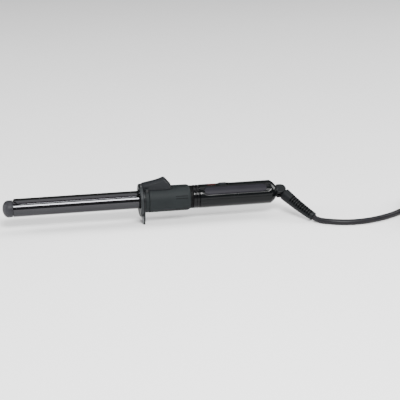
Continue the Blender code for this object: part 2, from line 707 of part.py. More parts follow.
def make_spring(finishes, pocket_top):
    """An open coil spring that stands on the holder's hub and lifts the lever."""
    low = HOLDER_HUB_RADIUS + GAP + SPRING_WIRE_RADIUS
    high = pocket_top - GAP - SPRING_WIRE_RADIUS
    per_turn = 8
    count = SPRING_TURNS * per_turn
    x = PIN_X + SPRING_FROM_PIN
    points = []
    for step in range(count + 1):
        angle = 2 * math.pi * step / per_turn
        points.append((x + SPRING_RADIUS * math.cos(angle), SPRING_RADIUS * math.sin(angle),
                       AXIS_HEIGHT + low + (high - low) * step / count))
    spring = cord_tube("lever_spring", points, SPRING_WIRE_RADIUS, finishes["steel"])
    spring.data.bevel_resolution = 0


def make_spindle(finishes):
    flange_start = HANDLE_START_X + 2.8 * MM
    flange_end = flange_start + 3.0 * MM
    groove = SPINDLE_START_X + 1.5 * MM
    groove_width = 1.4 * MM
    groove_radius = SPINDLE_RADIUS - 1.1 * MM
    turned("spindle", [
        (SPINDLE_START_X, SPINDLE_BORE_RADIUS),
        (SPINDLE_START_X, SPINDLE_RADIUS),
        (groove, SPINDLE_RADIUS),
        (groove, groove_radius),
        (groove + groove_width, groove_radius),
        (groove + groove_width, SPINDLE_RADIUS),
        (flange_start, SPINDLE_RADIUS),
        (flange_start, HANDLE_INNER_RADIUS - GAP),
        (flange_end, HANDLE_INNER_RADIUS - GAP),
        (flange_end, SPINDLE_BORE_RADIUS),
    ], finishes["bearing_plastic"])
    ring_low = groove_radius + GAP
    ring_high = SPINDLE_RADIUS + 2.4 * MM
    turned("spindle_clip", [
        (groove + GAP, ring_low),
        (groove + GAP, ring_high),
        (groove + groove_width - GAP, ring_high),
        (groove + groove_width - GAP, ring_low),
    ], finishes["steel"], sides=24, sweep=(30.0, 330.0))


def make_neck_ring(finishes):
    start = NECK_RING_X
    rib = NECK_RING_LENGTH / 2
    groove = 0.6 * MM
    deep = NECK_RING_RADIUS - 0.7 * MM
    turned("neck_ring", [
        (start, SPINDLE_HOLE_RADIUS),
        (start, NECK_RING_RADIUS - 0.5 * MM),
        (start + 0.5 * MM, NECK_RING_RADIUS),
        (start + rib - groove / 2, NECK_RING_RADIUS),
        (start + rib - groove / 2, deep),
        (start + rib + groove / 2, deep),
        (start + rib + groove / 2, NECK_RING_RADIUS),
        (start + NECK_RING_LENGTH - 0.5 * MM, NECK_RING_RADIUS),
        (start + NECK_RING_LENGTH, NECK_RING_RADIUS - 0.5 * MM),
        (start + NECK_RING_LENGTH, SPINDLE_HOLE_RADIUS),
    ], finishes["gloss_plastic"], sides=40)


def handle_profile():
    """The shell's outline in (x, radius): outside to the rear, round the end, back along the inside."""
    front_wall = 2.0 * MM
    rib_start = HANDLE_START_X + 2.8 * MM + 3.0 * MM + 2 * GAP
    rib_end = rib_start + 1.6 * MM
    rib_radius = SPINDLE_RADIUS + 1.6 * MM
    hole = NECK_WALL_RADIUS + RUNNING_CLEARANCE
    outside = []
    steps = 5
    mouth = hole + 0.9 * MM
    squareness = 2 / DOME_SQUARENESS
    for step in range(steps + 1):
        angle = math.pi / 2 * step / steps
        x = HANDLE_END_X - HANDLE_DOME_LENGTH + HANDLE_DOME_LENGTH * math.sin(angle) ** squareness
        outside.append((x, mouth + (HANDLE_RADIUS - mouth) * max(math.cos(angle), 0.0) ** squareness))
    inside_end = HANDLE_END_X - 1.6 * MM
    return [
        (HANDLE_START_X, SPINDLE_HOLE_RADIUS),
        (HANDLE_START_X, HANDLE_RADIUS),
        *outside,
        (HANDLE_END_X, hole),
        (inside_end, hole),
        (inside_end, NECK_COLLAR_RADIUS + 0.6 * MM),
        (HANDLE_END_X - HANDLE_DOME_LENGTH, HANDLE_INNER_RADIUS),
        (rib_end, HANDLE_INNER_RADIUS),
        (rib_end, rib_radius),
        (rib_start, rib_radius),
        (rib_start, HANDLE_INNER_RADIUS),
        (HANDLE_START_X + front_wall, HANDLE_INNER_RADIUS),
        (HANDLE_START_X + front_wall, SPINDLE_HOLE_RADIUS),
    ]


def panel_stations(grow):
    """Half angles along a side panel, narrowing to soft ends; grow widens and lengthens it."""
    start = PANEL_START_X - grow
    end = PANEL_START_X + PANEL_LENGTH + grow
    half = PANEL_HALF_ANGLE + math.degrees(grow / HANDLE_RADIUS)
    steps = 4
    nose = []
    for step in range(steps + 1):
        angle = math.pi / 2 * (0.18 + 0.82 * step / steps)
        nose.append((PANEL_END_LENGTH * (1 - math.cos(angle)), half * math.sin(angle)))
    first = nose[0][0]
    front = [(start + offset - first, size) for offset, size in nose]
    rear = [(end - offset + first, size) for offset, size in reversed(nose)]
    return front + rear


def make_handle(finishes):
    profile = handle_profile()
    gap = HANDLE_SPLIT_ANGLE
    upper = turned("handle_upper", profile, finishes["gloss_plastic"], sides=22, sweep=(-90 + gap, 90 - gap))
    lower = turned("handle_lower", profile, finishes["gloss_plastic"], sides=22, sweep=(90 + gap, 270 - gap))
    make_indicator(finishes, upper)
    make_switch(finishes, upper)
    make_handle_screw(finishes, upper, lower)
    recess_floor = PANEL_OUTER_RADIUS - PANEL_THICKNESS - GAP
    for name, side in (("near", 1), ("far", -1)):
        middle = side * PANEL_MIDDLE_ANGLE
        recess = curved_sheet(f"panel_recess_{name}", panel_stations(GAP), recess_floor,
                              HANDLE_RADIUS + MM, finishes["satin_plastic"], middle)
        cut(upper, recess)
        curved_sheet(f"side_panel_{name}", panel_stations(0.0), PANEL_OUTER_RADIUS - PANEL_THICKNESS,
                     PANEL_OUTER_RADIUS, finishes["satin_plastic"], middle)


def make_handle_screw(finishes, upper, lower):
    """One screw from below, through a boss of the lower shell into a boss of the upper one."""
    x = HANDLE_END_X - SCREW_FROM_END
    place = turned_frame(Vector((x, 0, AXIS_HEIGHT)), Vector((0, 0, 1)), Vector((1, 0, 0)))
    boss = SCREW_RADIUS + GAP + BOSS_WALL
    bore = SCREW_RADIUS + GAP
    wall_middle = HANDLE_INNER_RADIUS + HANDLE_WALL / 2
    split = 0.15 * MM
    tip = 6.5 * MM
    join(lower, turned("boss_lower", [
        (-wall_middle, 0.0),
        (-wall_middle, boss),
        (-split, boss),
        (-split, 0.0),
    ], finishes["gloss_plastic"], place, 24))
    join(upper, turned("boss_upper", [
        (tip + GAP, 0.0),
        (tip + GAP, bore),
        (split, bore),
        (split, boss),
        (wall_middle, boss),
        (wall_middle, 0.0),
    ], finishes["gloss_plastic"], place, 24))
    head_start = -HANDLE_RADIUS + 0.6 * MM
    head_end = head_start + 1.6 * MM
    turned("handle_screw", [
        (head_start, 0.0),
        (head_start, SCREW_HEAD_RADIUS),
        (head_end, SCREW_HEAD_RADIUS),
        (head_end, SCREW_RADIUS),
        (tip, SCREW_RADIUS),
        (tip, 0.0),
    ], finishes["steel"], place, 24)
    hole = turned("handle_screw_hole", [
        (-HANDLE_RADIUS - MM, 0.0),
        (-HANDLE_RADIUS - MM, SCREW_HEAD_RADIUS + GAP),
        (head_end + GAP, SCREW_HEAD_RADIUS + GAP),
        (head_end + GAP, bore),
        (split, bore),
        (split, 0.0),
    ], finishes["steel"], place, 24)
    cut(lower, hole)


def make_indicator(finishes, upper):
    start = HANDLE_START_X + LENS_FROM_FRONT
    end = start + LENS_LENGTH
    half_width = HANDLE_RADIUS * math.sin(math.radians(LENS_HALF_ANGLE)) + GAP
    hole = block("lens_hole", (start - GAP, -half_width, HANDLE_INNER_RADIUS / 2),
                 (end + GAP, half_width, HANDLE_RADIUS + MM), finishes["lens"])
    cut(upper, hole)
    curved_sheet("indicator_lens", [(start, LENS_HALF_ANGLE), (end, LENS_HALF_ANGLE)],
                 HANDLE_INNER_RADIUS, HANDLE_RADIUS + 0.05 * MM, finishes["lens"], 0.0, 6)
    board_top = BOARD_THICKNESS / 2
    place = turned_frame(Vector(((start + end) / 2, 0, AXIS_HEIGHT)), Vector((0, 0, 1)), Vector((1, 0, 0)))
    foot = board_top + GAP
    turned("indicator_led", [
        (foot, 0.0),
        (foot, 0.8 * MM),
        (foot + 4.5 * MM, 0.8 * MM),
        (foot + 4.5 * MM, 1.5 * MM),
        (foot + 7.6 * MM, 1.5 * MM),
        (foot + 8.7 * MM, 1.0 * MM),
        (foot + 9.1 * MM, 0.0),
    ], finishes["lens"], place, 16)


def make_switch(finishes, upper):
    """Circuit board, switch housing on it, and the slide knob through the upper shell."""
    board_start = HANDLE_START_X + BOARD_SETBACK
    board_top = BOARD_THICKNESS / 2
    block("circuit_board", (board_start, -BOARD_HALF_WIDTH, -board_top),
          (board_start + BOARD_LENGTH, BOARD_HALF_WIDTH, board_top), finishes["board"])
    knob_start = HANDLE_START_X + SWITCH_FROM_FRONT
    knob_end = knob_start + SWITCH_KNOB_LENGTH
    skirt_half = SWITCH_HALF_WIDTH + 1.8 * MM
    skirt_top = math.sqrt(HANDLE_INNER_RADIUS ** 2 - skirt_half ** 2) - GAP
    skirt_low = skirt_top - 0.8 * MM
    housing_top = skirt_low - GAP
    margin = 1.6 * MM
    block("switch_housing", (knob_start - margin, -skirt_half, board_top + GAP),
          (knob_end + margin + SWITCH_TRAVEL, skirt_half, housing_top), finishes["heatproof_plastic"])
    knob = block("power_switch", (knob_start, -SWITCH_HALF_WIDTH, skirt_top - 0.4 * MM),
                 (knob_end, SWITCH_HALF_WIDTH, HANDLE_RADIUS + SWITCH_PROUD), finishes["matte_plastic"])
    skirt = block("switch_skirt", (knob_start - margin, -skirt_half, skirt_low),
                  (knob_end + margin, skirt_half, skirt_top), finishes["matte_plastic"])
    join(knob, skirt)
    side = SWITCH_HALF_WIDTH + SLOT_CLEARANCE
    window = block("switch_window", (knob_start - SLOT_CLEARANCE, -side, HANDLE_INNER_RADIUS / 2),
                   (knob_end + SWITCH_TRAVEL + SLOT_CLEARANCE, side, HANDLE_RADIUS + MM),
                   finishes["gloss_plastic"])
    cut(upper, window)


def make_swivel(finishes):
    inner_start = HANDLE_END_X - 1.6 * MM - GAP - NECK_COLLAR_THICKNESS
    neck = turned("swivel_neck", [
        (inner_start, 0.0),
        (inner_start, NECK_COLLAR_RADIUS),
        (inner_start + NECK_COLLAR_THICKNESS, NECK_COLLAR_RADIUS),
        (inner_start + NECK_COLLAR_THICKNESS, NECK_WALL_RADIUS),
        (NECK_START_X, NECK_WALL_RADIUS),
        (NECK_START_X, NECK_RADIUS),
        (NECK_END_X, NECK_RADIUS),
        (NECK_END_X, 0.0),
    ], finishes["matte_plastic"])
    # In this frame X runs along the barrel axis and Y along the relief's pin.
    fork = turned_frame(PIVOT, Vector((1, 0, 0)), -LEAN)
    base = NECK_START_X + NECK_LENGTH / 2 - PIVOT_X
    outline = [(base, -KNUCKLE_RADIUS)]
    steps = 10
    for step in range(steps + 1):
        angle = math.pi * step / steps - math.pi / 2
        outline.append((KNUCKLE_RADIUS * math.cos(angle), KNUCKLE_RADIUS * math.sin(angle)))
    outline.append((base, KNUCKLE_RADIUS))
    knuckle = plate("knuckle", outline, -KNUCKLE_HALF_THICKNESS, KNUCKLE_HALF_THICKNESS,
                    finishes["matte_plastic"], "Y", fork)
    join(neck, knuckle)
    slot_half = FORK_SLOT_WIDTH / 2
    reach_back = RELIEF_EYE_RADIUS + GAP
    slot = block("fork_slot", (-reach_back, -slot_half, -NECK_RADIUS - MM),
                 (NECK_RADIUS + MM, slot_half, NECK_RADIUS + MM), finishes["matte_plastic"], fork)
    pin_length = 2 * (KNUCKLE_HALF_THICKNESS - PIN_END_WALL - GAP)
    hole = rod("fork_hole", PIVOT, PIN_DIRECTION, pin_length + 2 * GAP, PIN_RADIUS + RUNNING_CLEARANCE,
               finishes["matte_plastic"])
    wire_end = PIVOT_X - reach_back + MM
    wire_way = rod("wire_way", ((inner_start - MM + wire_end) / 2, 0, AXIS_HEIGHT), (1, 0, 0),
                   wire_end - inner_start + MM, NECK_BORE_RADIUS, finishes["matte_plastic"])
    cut(neck, slot, hole, wire_way)
    rod("relief_pin", PIVOT, PIN_DIRECTION, pin_length, PIN_RADIUS, finishes["steel"])


def make_strain_relief(finishes):
    along = turned_frame(PIVOT, RELIEF_DIRECTION, PIN_DIRECTION)
    relief = turned("strain_relief", [
        (RELIEF_START, 0.0),
        (RELIEF_START, RELIEF_START_RADIUS - 0.8 * MM),
        (RELIEF_START + 0.8 * MM, RELIEF_START_RADIUS),
        (RELIEF_LENGTH - 0.6 * MM, RELIEF_END_RADIUS),
        (RELIEF_LENGTH, RELIEF_END_RADIUS - 0.6 * MM),
        (RELIEF_LENGTH, 0.0),
    ], finishes["rubber"], along, 24)
    half = FORK_SLOT_WIDTH / 2 - GAP
    eye = rod("relief_eye", PIVOT, PIN_DIRECTION, 2 * half, RELIEF_EYE_RADIUS, finishes["rubber"], 24)
    web = block("relief_web", (0.0, -0.78 * RELIEF_EYE_RADIUS, -half + 0.01 * MM),
                (RELIEF_START + MM, 0.78 * RELIEF_EYE_RADIUS, half - 0.01 * MM), finishes["rubber"], along)
    hole = rod("relief_eye_hole", PIVOT, PIN_DIRECTION, 4 * half, PIN_RADIUS + RUNNING_CLEARANCE,
               finishes["rubber"])
    join(relief, web, eye)
    cut(relief, hole)


def coil_top():
    return COIL_LIFT + COIL_LAYERS * 2 * CORD_RADIUS + 0.1 * MM


def make_cord(finishes):
    points = [Vector(CORD_ROUTE[0])] + smooth_points(CORD_ROUTE[1:], CORD_POINT_SPACING)
    cord_tube("cord", points, CORD_RADIUS, finishes["cord"])
    half = COIL_COLUMNS * CORD_RADIUS
    inner = COIL_MEAN_RADIUS - half
    outer = COIL_MEAN_RADIUS + half
    low = COIL_LIFT
    high = coil_top()
    soft = 1.5 * MM
    place = turned_frame(COIL_CENTRE, Vector((0, 0, 1)), Vector((1, 0, 0)))
    turned("cord_coil", [
        (low, inner + soft),
        (low, outer - soft),
        (low + soft, outer),
        (high - soft, outer),
        (high, outer - soft),
        (high, inner + soft),
        (high - soft, inner),
        (low + soft, inner),
    ], finishes["cord"], place, 32)
    along = turned_frame(
        COIL_CENTRE + Vector((COIL_MEAN_RADIUS * math.cos(math.radians(TIE_ANGLE)),
                              COIL_MEAN_RADIUS * math.sin(math.radians(TIE_ANGLE)), (low + high) / 2)),
        Vector((-math.sin(math.radians(TIE_ANGLE)), math.cos(math.radians(TIE_ANGLE)), 0)))
    curve_rise = TIE_HALF_WIDTH ** 2 / (2 * inner)
    inside_half = half + GAP + curve_rise
    inside_height = (high - low) / 2 + GAP
    outside = rounded_outline(inside_half + TIE_THICKNESS, inside_height + TIE_THICKNESS, 20, 12)
    inside = rounded_outline(inside_half, inside_height, 20, 12)
    tie = plate("cord_tie", outside, -TIE_HALF_WIDTH, TIE_HALF_WIDTH, finishes["tie"], "X", along)
    core = plate("cord_tie_core", inside, -TIE_HALF_WIDTH - MM, TIE_HALF_WIDTH + MM, finishes["tie"],
                 "X", along)
    cut(tie, core)


def make_plug(finishes):
    """The tail on top of the coil, and the flat two-pin plug that lies across it."""
    heading = Vector((math.cos(math.radians(PLUG_ANGLE)), math.sin(math.radians(PLUG_ANGLE)), 0))
    foot_angle = math.radians(PLUG_ANGLE + 90)
    foot = COIL_CENTRE + Vector((math.cos(foot_angle), math.sin(foot_angle), 0)) * 33.0 * MM
    height = coil_top() + GAP + PLUG_HALF_THICKNESS
    start = foot - heading * 27.0 * MM + Vector((0, 0, height))
    place = turned_frame(start, heading)
    shape = [
        (0.0, 4.3 * MM, 4.3 * MM),
        (9.0 * MM, 5.2 * MM, 5.2 * MM),
        (13.0 * MM, 10.0 * MM, 6.2 * MM),
        (20.0 * MM, PLUG_HALF_WIDTH - 1.5 * MM, PLUG_HALF_THICKNESS),
        (26.0 * MM, PLUG_HALF_WIDTH, PLUG_HALF_THICKNESS),
        (PLUG_LENGTH, PLUG_HALF_WIDTH - 0.6 * MM, PLUG_HALF_THICKNESS - 0.4 * MM),
    ]
    sections = [[(x, y, z) for y, z in rounded_outline(width, thick, 16, 3.0)] for x, width, thick in shape]
    body = lofted("plug_body", sections, finishes["gloss_plastic"], place)
    sunk = 4.0 * MM
    for name, side in (("line", -1), ("neutral", 1)):
        offset = Vector((PLUG_LENGTH + (PLUG_PIN_LENGTH - sunk) / 2, side * PLUG_PIN_SPACING / 2, 0))
        middle = place @ offset
        rod(f"plug_pin_{name}", middle, heading, PLUG_PIN_LENGTH + sunk, PLUG_PIN_RADIUS,
            finishes["brass"], 20)
        socket_middle = place @ Vector((PLUG_LENGTH, side * PLUG_PIN_SPACING / 2, 0))
        cut(body, rod(f"pin_socket_{name}", socket_middle, heading, 2 * sunk + 2 * GAP,
                      PLUG_PIN_RADIUS + GAP, finishes["brass"], 20))
    route = []
    for angle, radius, lift in TAIL_ROUTE:
        turn = math.radians(angle)
        route.append(COIL_CENTRE + Vector((radius * math.cos(turn), radius * math.sin(turn),
                                           coil_top() + lift)))
    route.append(start - heading * 4.0 * MM)
    route.append(start - heading * GAP)
    points = smooth_points(route[:-1], CORD_POINT_SPACING) + [route[-1]]
    cord_tube("cord_tail", points, CORD_RADIUS, finishes["cord"])


def main():
    for old in list(bpy.data.objects):
        bpy.data.objects.remove(old, do_unlink=True)
    finishes = {
        "dark_metal": finish("dark_metal", (0.035, 0.035, 0.04), 0.18, 0.9),
        "heatproof_plastic": finish("heatproof_plastic", (0.04, 0.04, 0.043), 0.5),
        "ceramic": finish("ceramic", (0.8, 0.78, 0.72), 0.6),
        "aluminium": finish("aluminium", (0.75, 0.75, 0.77), 0.35, 1.0),
        "matte_plastic": finish("matte_plastic", (0.045, 0.048, 0.05), 0.6),
        "satin_metal": finish("satin_metal", (0.30, 0.31, 0.32), 0.3, 0.9),
        "steel": finish("steel", (0.6, 0.6, 0.62), 0.3, 1.0),
        "soft_grip": finish("soft_grip", (0.05, 0.055, 0.055), 0.75),
        "bearing_plastic": finish("bearing_plastic", (0.05, 0.05, 0.05), 0.45),
        "gloss_plastic": finish("gloss_plastic", (0.015, 0.015, 0.017), 0.12),
        "satin_plastic": finish("satin_plastic", (0.12, 0.12, 0.125), 0.4),
        "lens": finish("lens", (0.45, 0.04, 0.03), 0.15),
        "board": finish("board", (0.05, 0.2, 0.08), 0.5),
        "rubber": finish("rubber", (0.02, 0.02, 0.02), 0.55),
        "cord": finish("cord", (0.025, 0.025, 0.025), 0.4),
        "tie": finish("tie", (0.02, 0.02, 0.02), 0.8),
        "brass": finish("brass", (0.8, 0.78, 0.7), 0.25, 1.0),
    }
    make_barrel(finishes)
    make_heater(finishes)
    make_barrel_holder(finishes)
    make_flange(finishes)
    make_stand_foot(finishes)
    make_collar(finishes)
    make_sleeve(finishes)
    make_turning_bush(finishes)
    clip, strap_low, strap_high = make_clip(finishes)
    make_thumb_lever(finishes, clip, strap_low, strap_high)
    make_spindle(finishes)
    make_neck_ring(finishes)
    make_handle(finishes)
    make_swivel(finishes)
    make_strain_relief(finishes)
    make_cord(finishes)
    make_plug(finishes)
    bpy.context.view_layer.update()


main()
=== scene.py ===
import math
import bpy
import bmesh
from mathutils import Matrix, Vector
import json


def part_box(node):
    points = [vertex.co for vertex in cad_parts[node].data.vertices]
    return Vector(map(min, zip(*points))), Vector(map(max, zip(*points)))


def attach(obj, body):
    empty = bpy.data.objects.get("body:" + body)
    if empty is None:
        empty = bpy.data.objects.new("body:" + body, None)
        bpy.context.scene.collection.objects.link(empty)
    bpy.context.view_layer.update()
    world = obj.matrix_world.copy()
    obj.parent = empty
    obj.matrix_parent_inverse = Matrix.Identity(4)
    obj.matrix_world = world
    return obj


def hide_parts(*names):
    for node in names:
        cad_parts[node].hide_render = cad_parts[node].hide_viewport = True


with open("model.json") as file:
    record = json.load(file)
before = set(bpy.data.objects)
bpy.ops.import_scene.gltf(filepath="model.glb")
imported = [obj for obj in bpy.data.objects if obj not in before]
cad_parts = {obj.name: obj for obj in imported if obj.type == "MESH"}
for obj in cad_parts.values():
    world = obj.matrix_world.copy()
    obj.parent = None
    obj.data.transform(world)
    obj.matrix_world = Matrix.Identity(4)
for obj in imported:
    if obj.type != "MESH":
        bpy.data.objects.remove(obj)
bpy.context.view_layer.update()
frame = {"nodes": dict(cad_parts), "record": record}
mm = 0.001

joints = {joint["name"]: joint for joint in frame["record"]["behaviour"]["joints"]}
axisHeight = joints["handle_turn"]["pos_m"][2]  # the barrel's axis above the floor
pivot = Vector(joints["relief_tilt"]["pos_m"])
pinDirection = Vector(joints["relief_tilt"]["axis"]).normalized()
leverPin = Vector(joints["clip_lever"]["pos_m"])


def makeObject(name, mesh, finish, smoothAngle=35.0):
    mesh.materials.clear()
    mesh.materials.append(finish)
    mesh.shade_smooth()
    mesh.set_sharp_from_angle(angle=math.radians(smoothAngle))
    piece = bpy.data.objects.new(name, mesh)
    bpy.context.scene.collection.objects.link(piece)
    return piece


def skin(name, rows, finish, wrap=False, smoothAngle=35.0):  # wrap joins the last row to the first
    work = bmesh.new()
    grid = [[work.verts.new(point) for point in row] for row in rows]
    pairs = list(zip(grid, grid[1:]))
    if wrap:
        pairs.append((grid[-1], grid[0]))
    for near, far in pairs:
        count = len(near)
        for step in range(count):
            after = (step + 1) % count
            work.faces.new((near[step], near[after], far[after], far[step]))
    if not wrap:
        work.faces.new(grid[0])
        work.faces.new(list(reversed(grid[-1])))
    bmesh.ops.remove_doubles(work, verts=work.verts, dist=1e-7)
    bmesh.ops.dissolve_degenerate(work, edges=work.edges, dist=1e-8)
    bmesh.ops.recalc_face_normals(work, faces=work.faces)
    mesh = bpy.data.meshes.new(name)
    work.to_mesh(mesh)
    work.free()
    return makeObject(name, mesh, finish, smoothAngle)


def barrelPoint(x, radius, angle):  # angle 0 is the top, positive towards -Y
    return Vector((x, -radius * math.sin(angle), axisHeight + radius * math.cos(angle)))


def soften(corners, steps=4):  # each corner is (x, radius, rounding)
    points = []
    last = len(corners) - 1
    for index, corner in enumerate(corners):
        here = Vector(corner[:2])
        rounding = corner[2] if len(corner) > 2 else 0.0
        if index in (0, last) or rounding == 0.0:
            points.append(tuple(here))
            continue
        before = Vector(corners[index - 1][:2]) - here
        after = Vector(corners[index + 1][:2]) - here
        reach = min(rounding, before.length * 0.48, after.length * 0.48)
        start = here + before.normalized() * reach
        end = here + after.normalized() * reach
        for step in range(steps + 1):
            t = step / steps
            points.append(tuple(start * (1 - t) ** 2 + here * 2 * t * (1 - t) + end * t ** 2))
    return points


def turned(name, corners, finish, sides=96, hollow=True, place=None):  # round X of the axis or of a place
    rows = []
    for x, radius in soften(corners):
        ring = []
        for step in range(sides):
            angle = 2 * math.pi * step / sides
            if place is None:
                ring.append(barrelPoint(x, max(radius, 1e-6), angle))
            else:
                ring.append(place @ Vector((x, -max(radius, 1e-6) * math.sin(angle),
                                            max(radius, 1e-6) * math.cos(angle))))
        rows.append(ring)
    return skin(name, rows, finish, wrap=hollow)


def placeAlong(origin, direction, side=Vector((0, 0, 1))):
    forward = Vector(direction).normalized()
    across = side.cross(forward).normalized()
    upright = forward.cross(across)
    return Matrix.Translation(origin) @ Matrix((forward, across, upright)).transposed().to_4x4()


def softBox(name, low, high, finish, rounding=0.4 * mm, place=None, segments=3):
    work = bmesh.new()
    bmesh.ops.create_cube(work, size=1.0)
    low, high = Vector(low), Vector(high)
    for vert in work.verts:
        vert.co = Vector(((low + high) / 2)[i] + vert.co[i] * (high - low)[i] for i in range(3))
    if rounding:
        bmesh.ops.bevel(work, geom=list(work.edges), offset=rounding, segments=segments,
                        affect="EDGES", profile=0.5)
    if place is not None:
        bmesh.ops.transform(work, matrix=place, verts=work.verts)
    bmesh.ops.recalc_face_normals(work, faces=work.faces)
    mesh = bpy.data.meshes.new(name)
    work.to_mesh(mesh)
    work.free()
    return makeObject(name, mesh, finish)


def settle(piece):  # makes a plain mesh of a piece with modifiers
    bpy.context.view_layer.update()
    graph = bpy.context.evaluated_depsgraph_get()
    mesh = bpy.data.meshes.new_from_object(piece.evaluated_get(graph), depsgraph=graph)
    piece.modifiers.clear()
    old = piece.data
    piece.data = mesh
    if old.users == 0:
        bpy.data.meshes.remove(old)
    return piece


def carve(piece, *tools):  # cuts the tools out and throws them away
    for tool in tools:
        cut = piece.modifiers.new("cut", "BOOLEAN")
        cut.operation = "DIFFERENCE"
        cut.solver = "EXACT"
        cut.object = tool
    settle(piece)
    for tool in tools:
        bpy.data.objects.remove(tool, do_unlink=True)
    return piece


def bevelled(piece, width, segments=3, angle=40.0):
    bevel = piece.modifiers.new("edges", "BEVEL")
    bevel.width = width
    bevel.segments = segments
    bevel.limit_method = "ANGLE"
    bevel.angle_limit = math.radians(angle)
    bevel.use_clamp_overlap = True
    return settle(piece)


def smoothRoute(points, spacing):  # evenly spaced points on a smooth curve
    route = [Vector(point) for point in points]
    padded = [2 * route[0] - route[1]] + route + [2 * route[-1] - route[-2]]
    fine = []
    for a, b, c, d in zip(padded, padded[1:], padded[2:], padded[3:]):
        for part in range(16):
            t = part / 16
            fine.append(0.5 * (2 * b + (c - a) * t + (2 * a - 5 * b + 4 * c - d) * t ** 2
                               + (3 * b - a - 3 * c + d) * t ** 3))
    fine.append(route[-1])
    length = sum((b - a).length for a, b in zip(fine, fine[1:]))
    count = round(length / spacing)
    made = [fine[0]]
    travelled = 0.0
    for a, b in zip(fine, fine[1:]):
        travelled += (b - a).length
        if travelled >= length * len(made) / count and len(made) < count:
            made.append(b)
    made.append(fine[-1])
    return made, length


def repeatTree():  # geometry nodes for what repeats
    tree = bpy.data.node_groups.new("repeatPiece", "GeometryNodeTree")
    face = tree.interface
    face.new_socket("Geometry", in_out="INPUT", socket_type="NodeSocketGeometry")
    for name, kind in (("Count", "NodeSocketInt"), ("Step", "NodeSocketVector"), ("Turn", "NodeSocketVector"),
                       ("Pivot", "NodeSocketVector"), ("Finish", "NodeSocketMaterial")):
        face.new_socket(name, in_out="INPUT", socket_type=kind)
    face.new_socket("Geometry", in_out="OUTPUT", socket_type="NodeSocketGeometry")
    made = {}
    for key, kind in (("given", "NodeGroupInput"), ("points", "GeometryNodePoints"),
                      ("copies", "GeometryNodeInstanceOnPoints"), ("index", "GeometryNodeInputIndex"),
                      ("move", "ShaderNodeVectorMath"), ("turn", "ShaderNodeVectorMath"),
                      ("shift", "GeometryNodeTranslateInstances"), ("spin", "GeometryNodeRotateInstances"),
                      ("real", "GeometryNodeRealizeInstances"), ("coat", "GeometryNodeSetMaterial"),
                      ("out", "NodeGroupOutput")):
        made[key] = tree.nodes.new(kind)
    made["move"].operation = "SCALE"
    made["turn"].operation = "SCALE"
    made["shift"].inputs["Local Space"].default_value = False
    made["spin"].inputs["Local Space"].default_value = False
    for fromNode, fromSocket, toNode, toSocket in (
        ("given", "Count", "points", "Count"),
        ("points", "Points", "copies", "Points"),
        ("given", "Geometry", "copies", "Instance"),
        ("given", "Step", "move", "Vector"),
        ("index", "Index", "move", "Scale"),
        ("given", "Turn", "turn", "Vector"),
        ("index", "Index", "turn", "Scale"),
        ("copies", "Instances", "shift", "Instances"),
        ("move", "Vector", "shift", "Translation"),
        ("shift", "Instances", "spin", "Instances"),
        ("turn", "Vector", "spin", "Rotation"),
        ("given", "Pivot", "spin", "Pivot Point"),
        ("spin", "Instances", "real", "Geometry"),
        ("real", "Geometry", "coat", "Geometry"),
        ("given", "Finish", "coat", "Material"),
        ("coat", "Geometry", "out", "Geometry"),
    ):
        tree.links.new(made[fromNode].outputs[fromSocket], made[toNode].inputs[toSocket])
    return tree


def repeated(piece, count, finish, step=(0, 0, 0), turn=(0, 0, 0), pivotPoint=(0, 0, 0)):
    maker = piece.modifiers.new("repeat", "NODES")
    maker.node_group = repeatGroup
    values = {"Count": count, "Step": step, "Turn": turn, "Pivot": pivotPoint, "Finish": finish}
    for item in repeatGroup.interface.items_tree:
        if item.in_out == "INPUT" and item.name in values:
            maker[item.identifier] = values[item.name]
    settle(piece)
    piece.data.shade_smooth()
    piece.data.set_sharp_from_angle(angle=math.radians(35))
    return piece


repeatGroup = repeatTree()


class Field:  # a socket that ordinary arithmetic works on
    def __init__(self, graph, socket):
        self.graph = graph
        self.socket = socket

    def mathNode(self, operation, first, second):
        made = self.graph.node("ShaderNodeMath", {"operation": operation}, {0: first, 1: second})
        return Field(self.graph, made.outputs[0])

    def __add__(self, other):
        return self.mathNode("ADD", self, other)

    def __radd__(self, other):
        return self.mathNode("ADD", other, self)

    def __sub__(self, other):
        return self.mathNode("SUBTRACT", self, other)

    def __rsub__(self, other):
        return self.mathNode("SUBTRACT", other, self)

    def __mul__(self, other):
        return self.mathNode("MULTIPLY", self, other)

    def __rmul__(self, other):
        return self.mathNode("MULTIPLY", other, self)


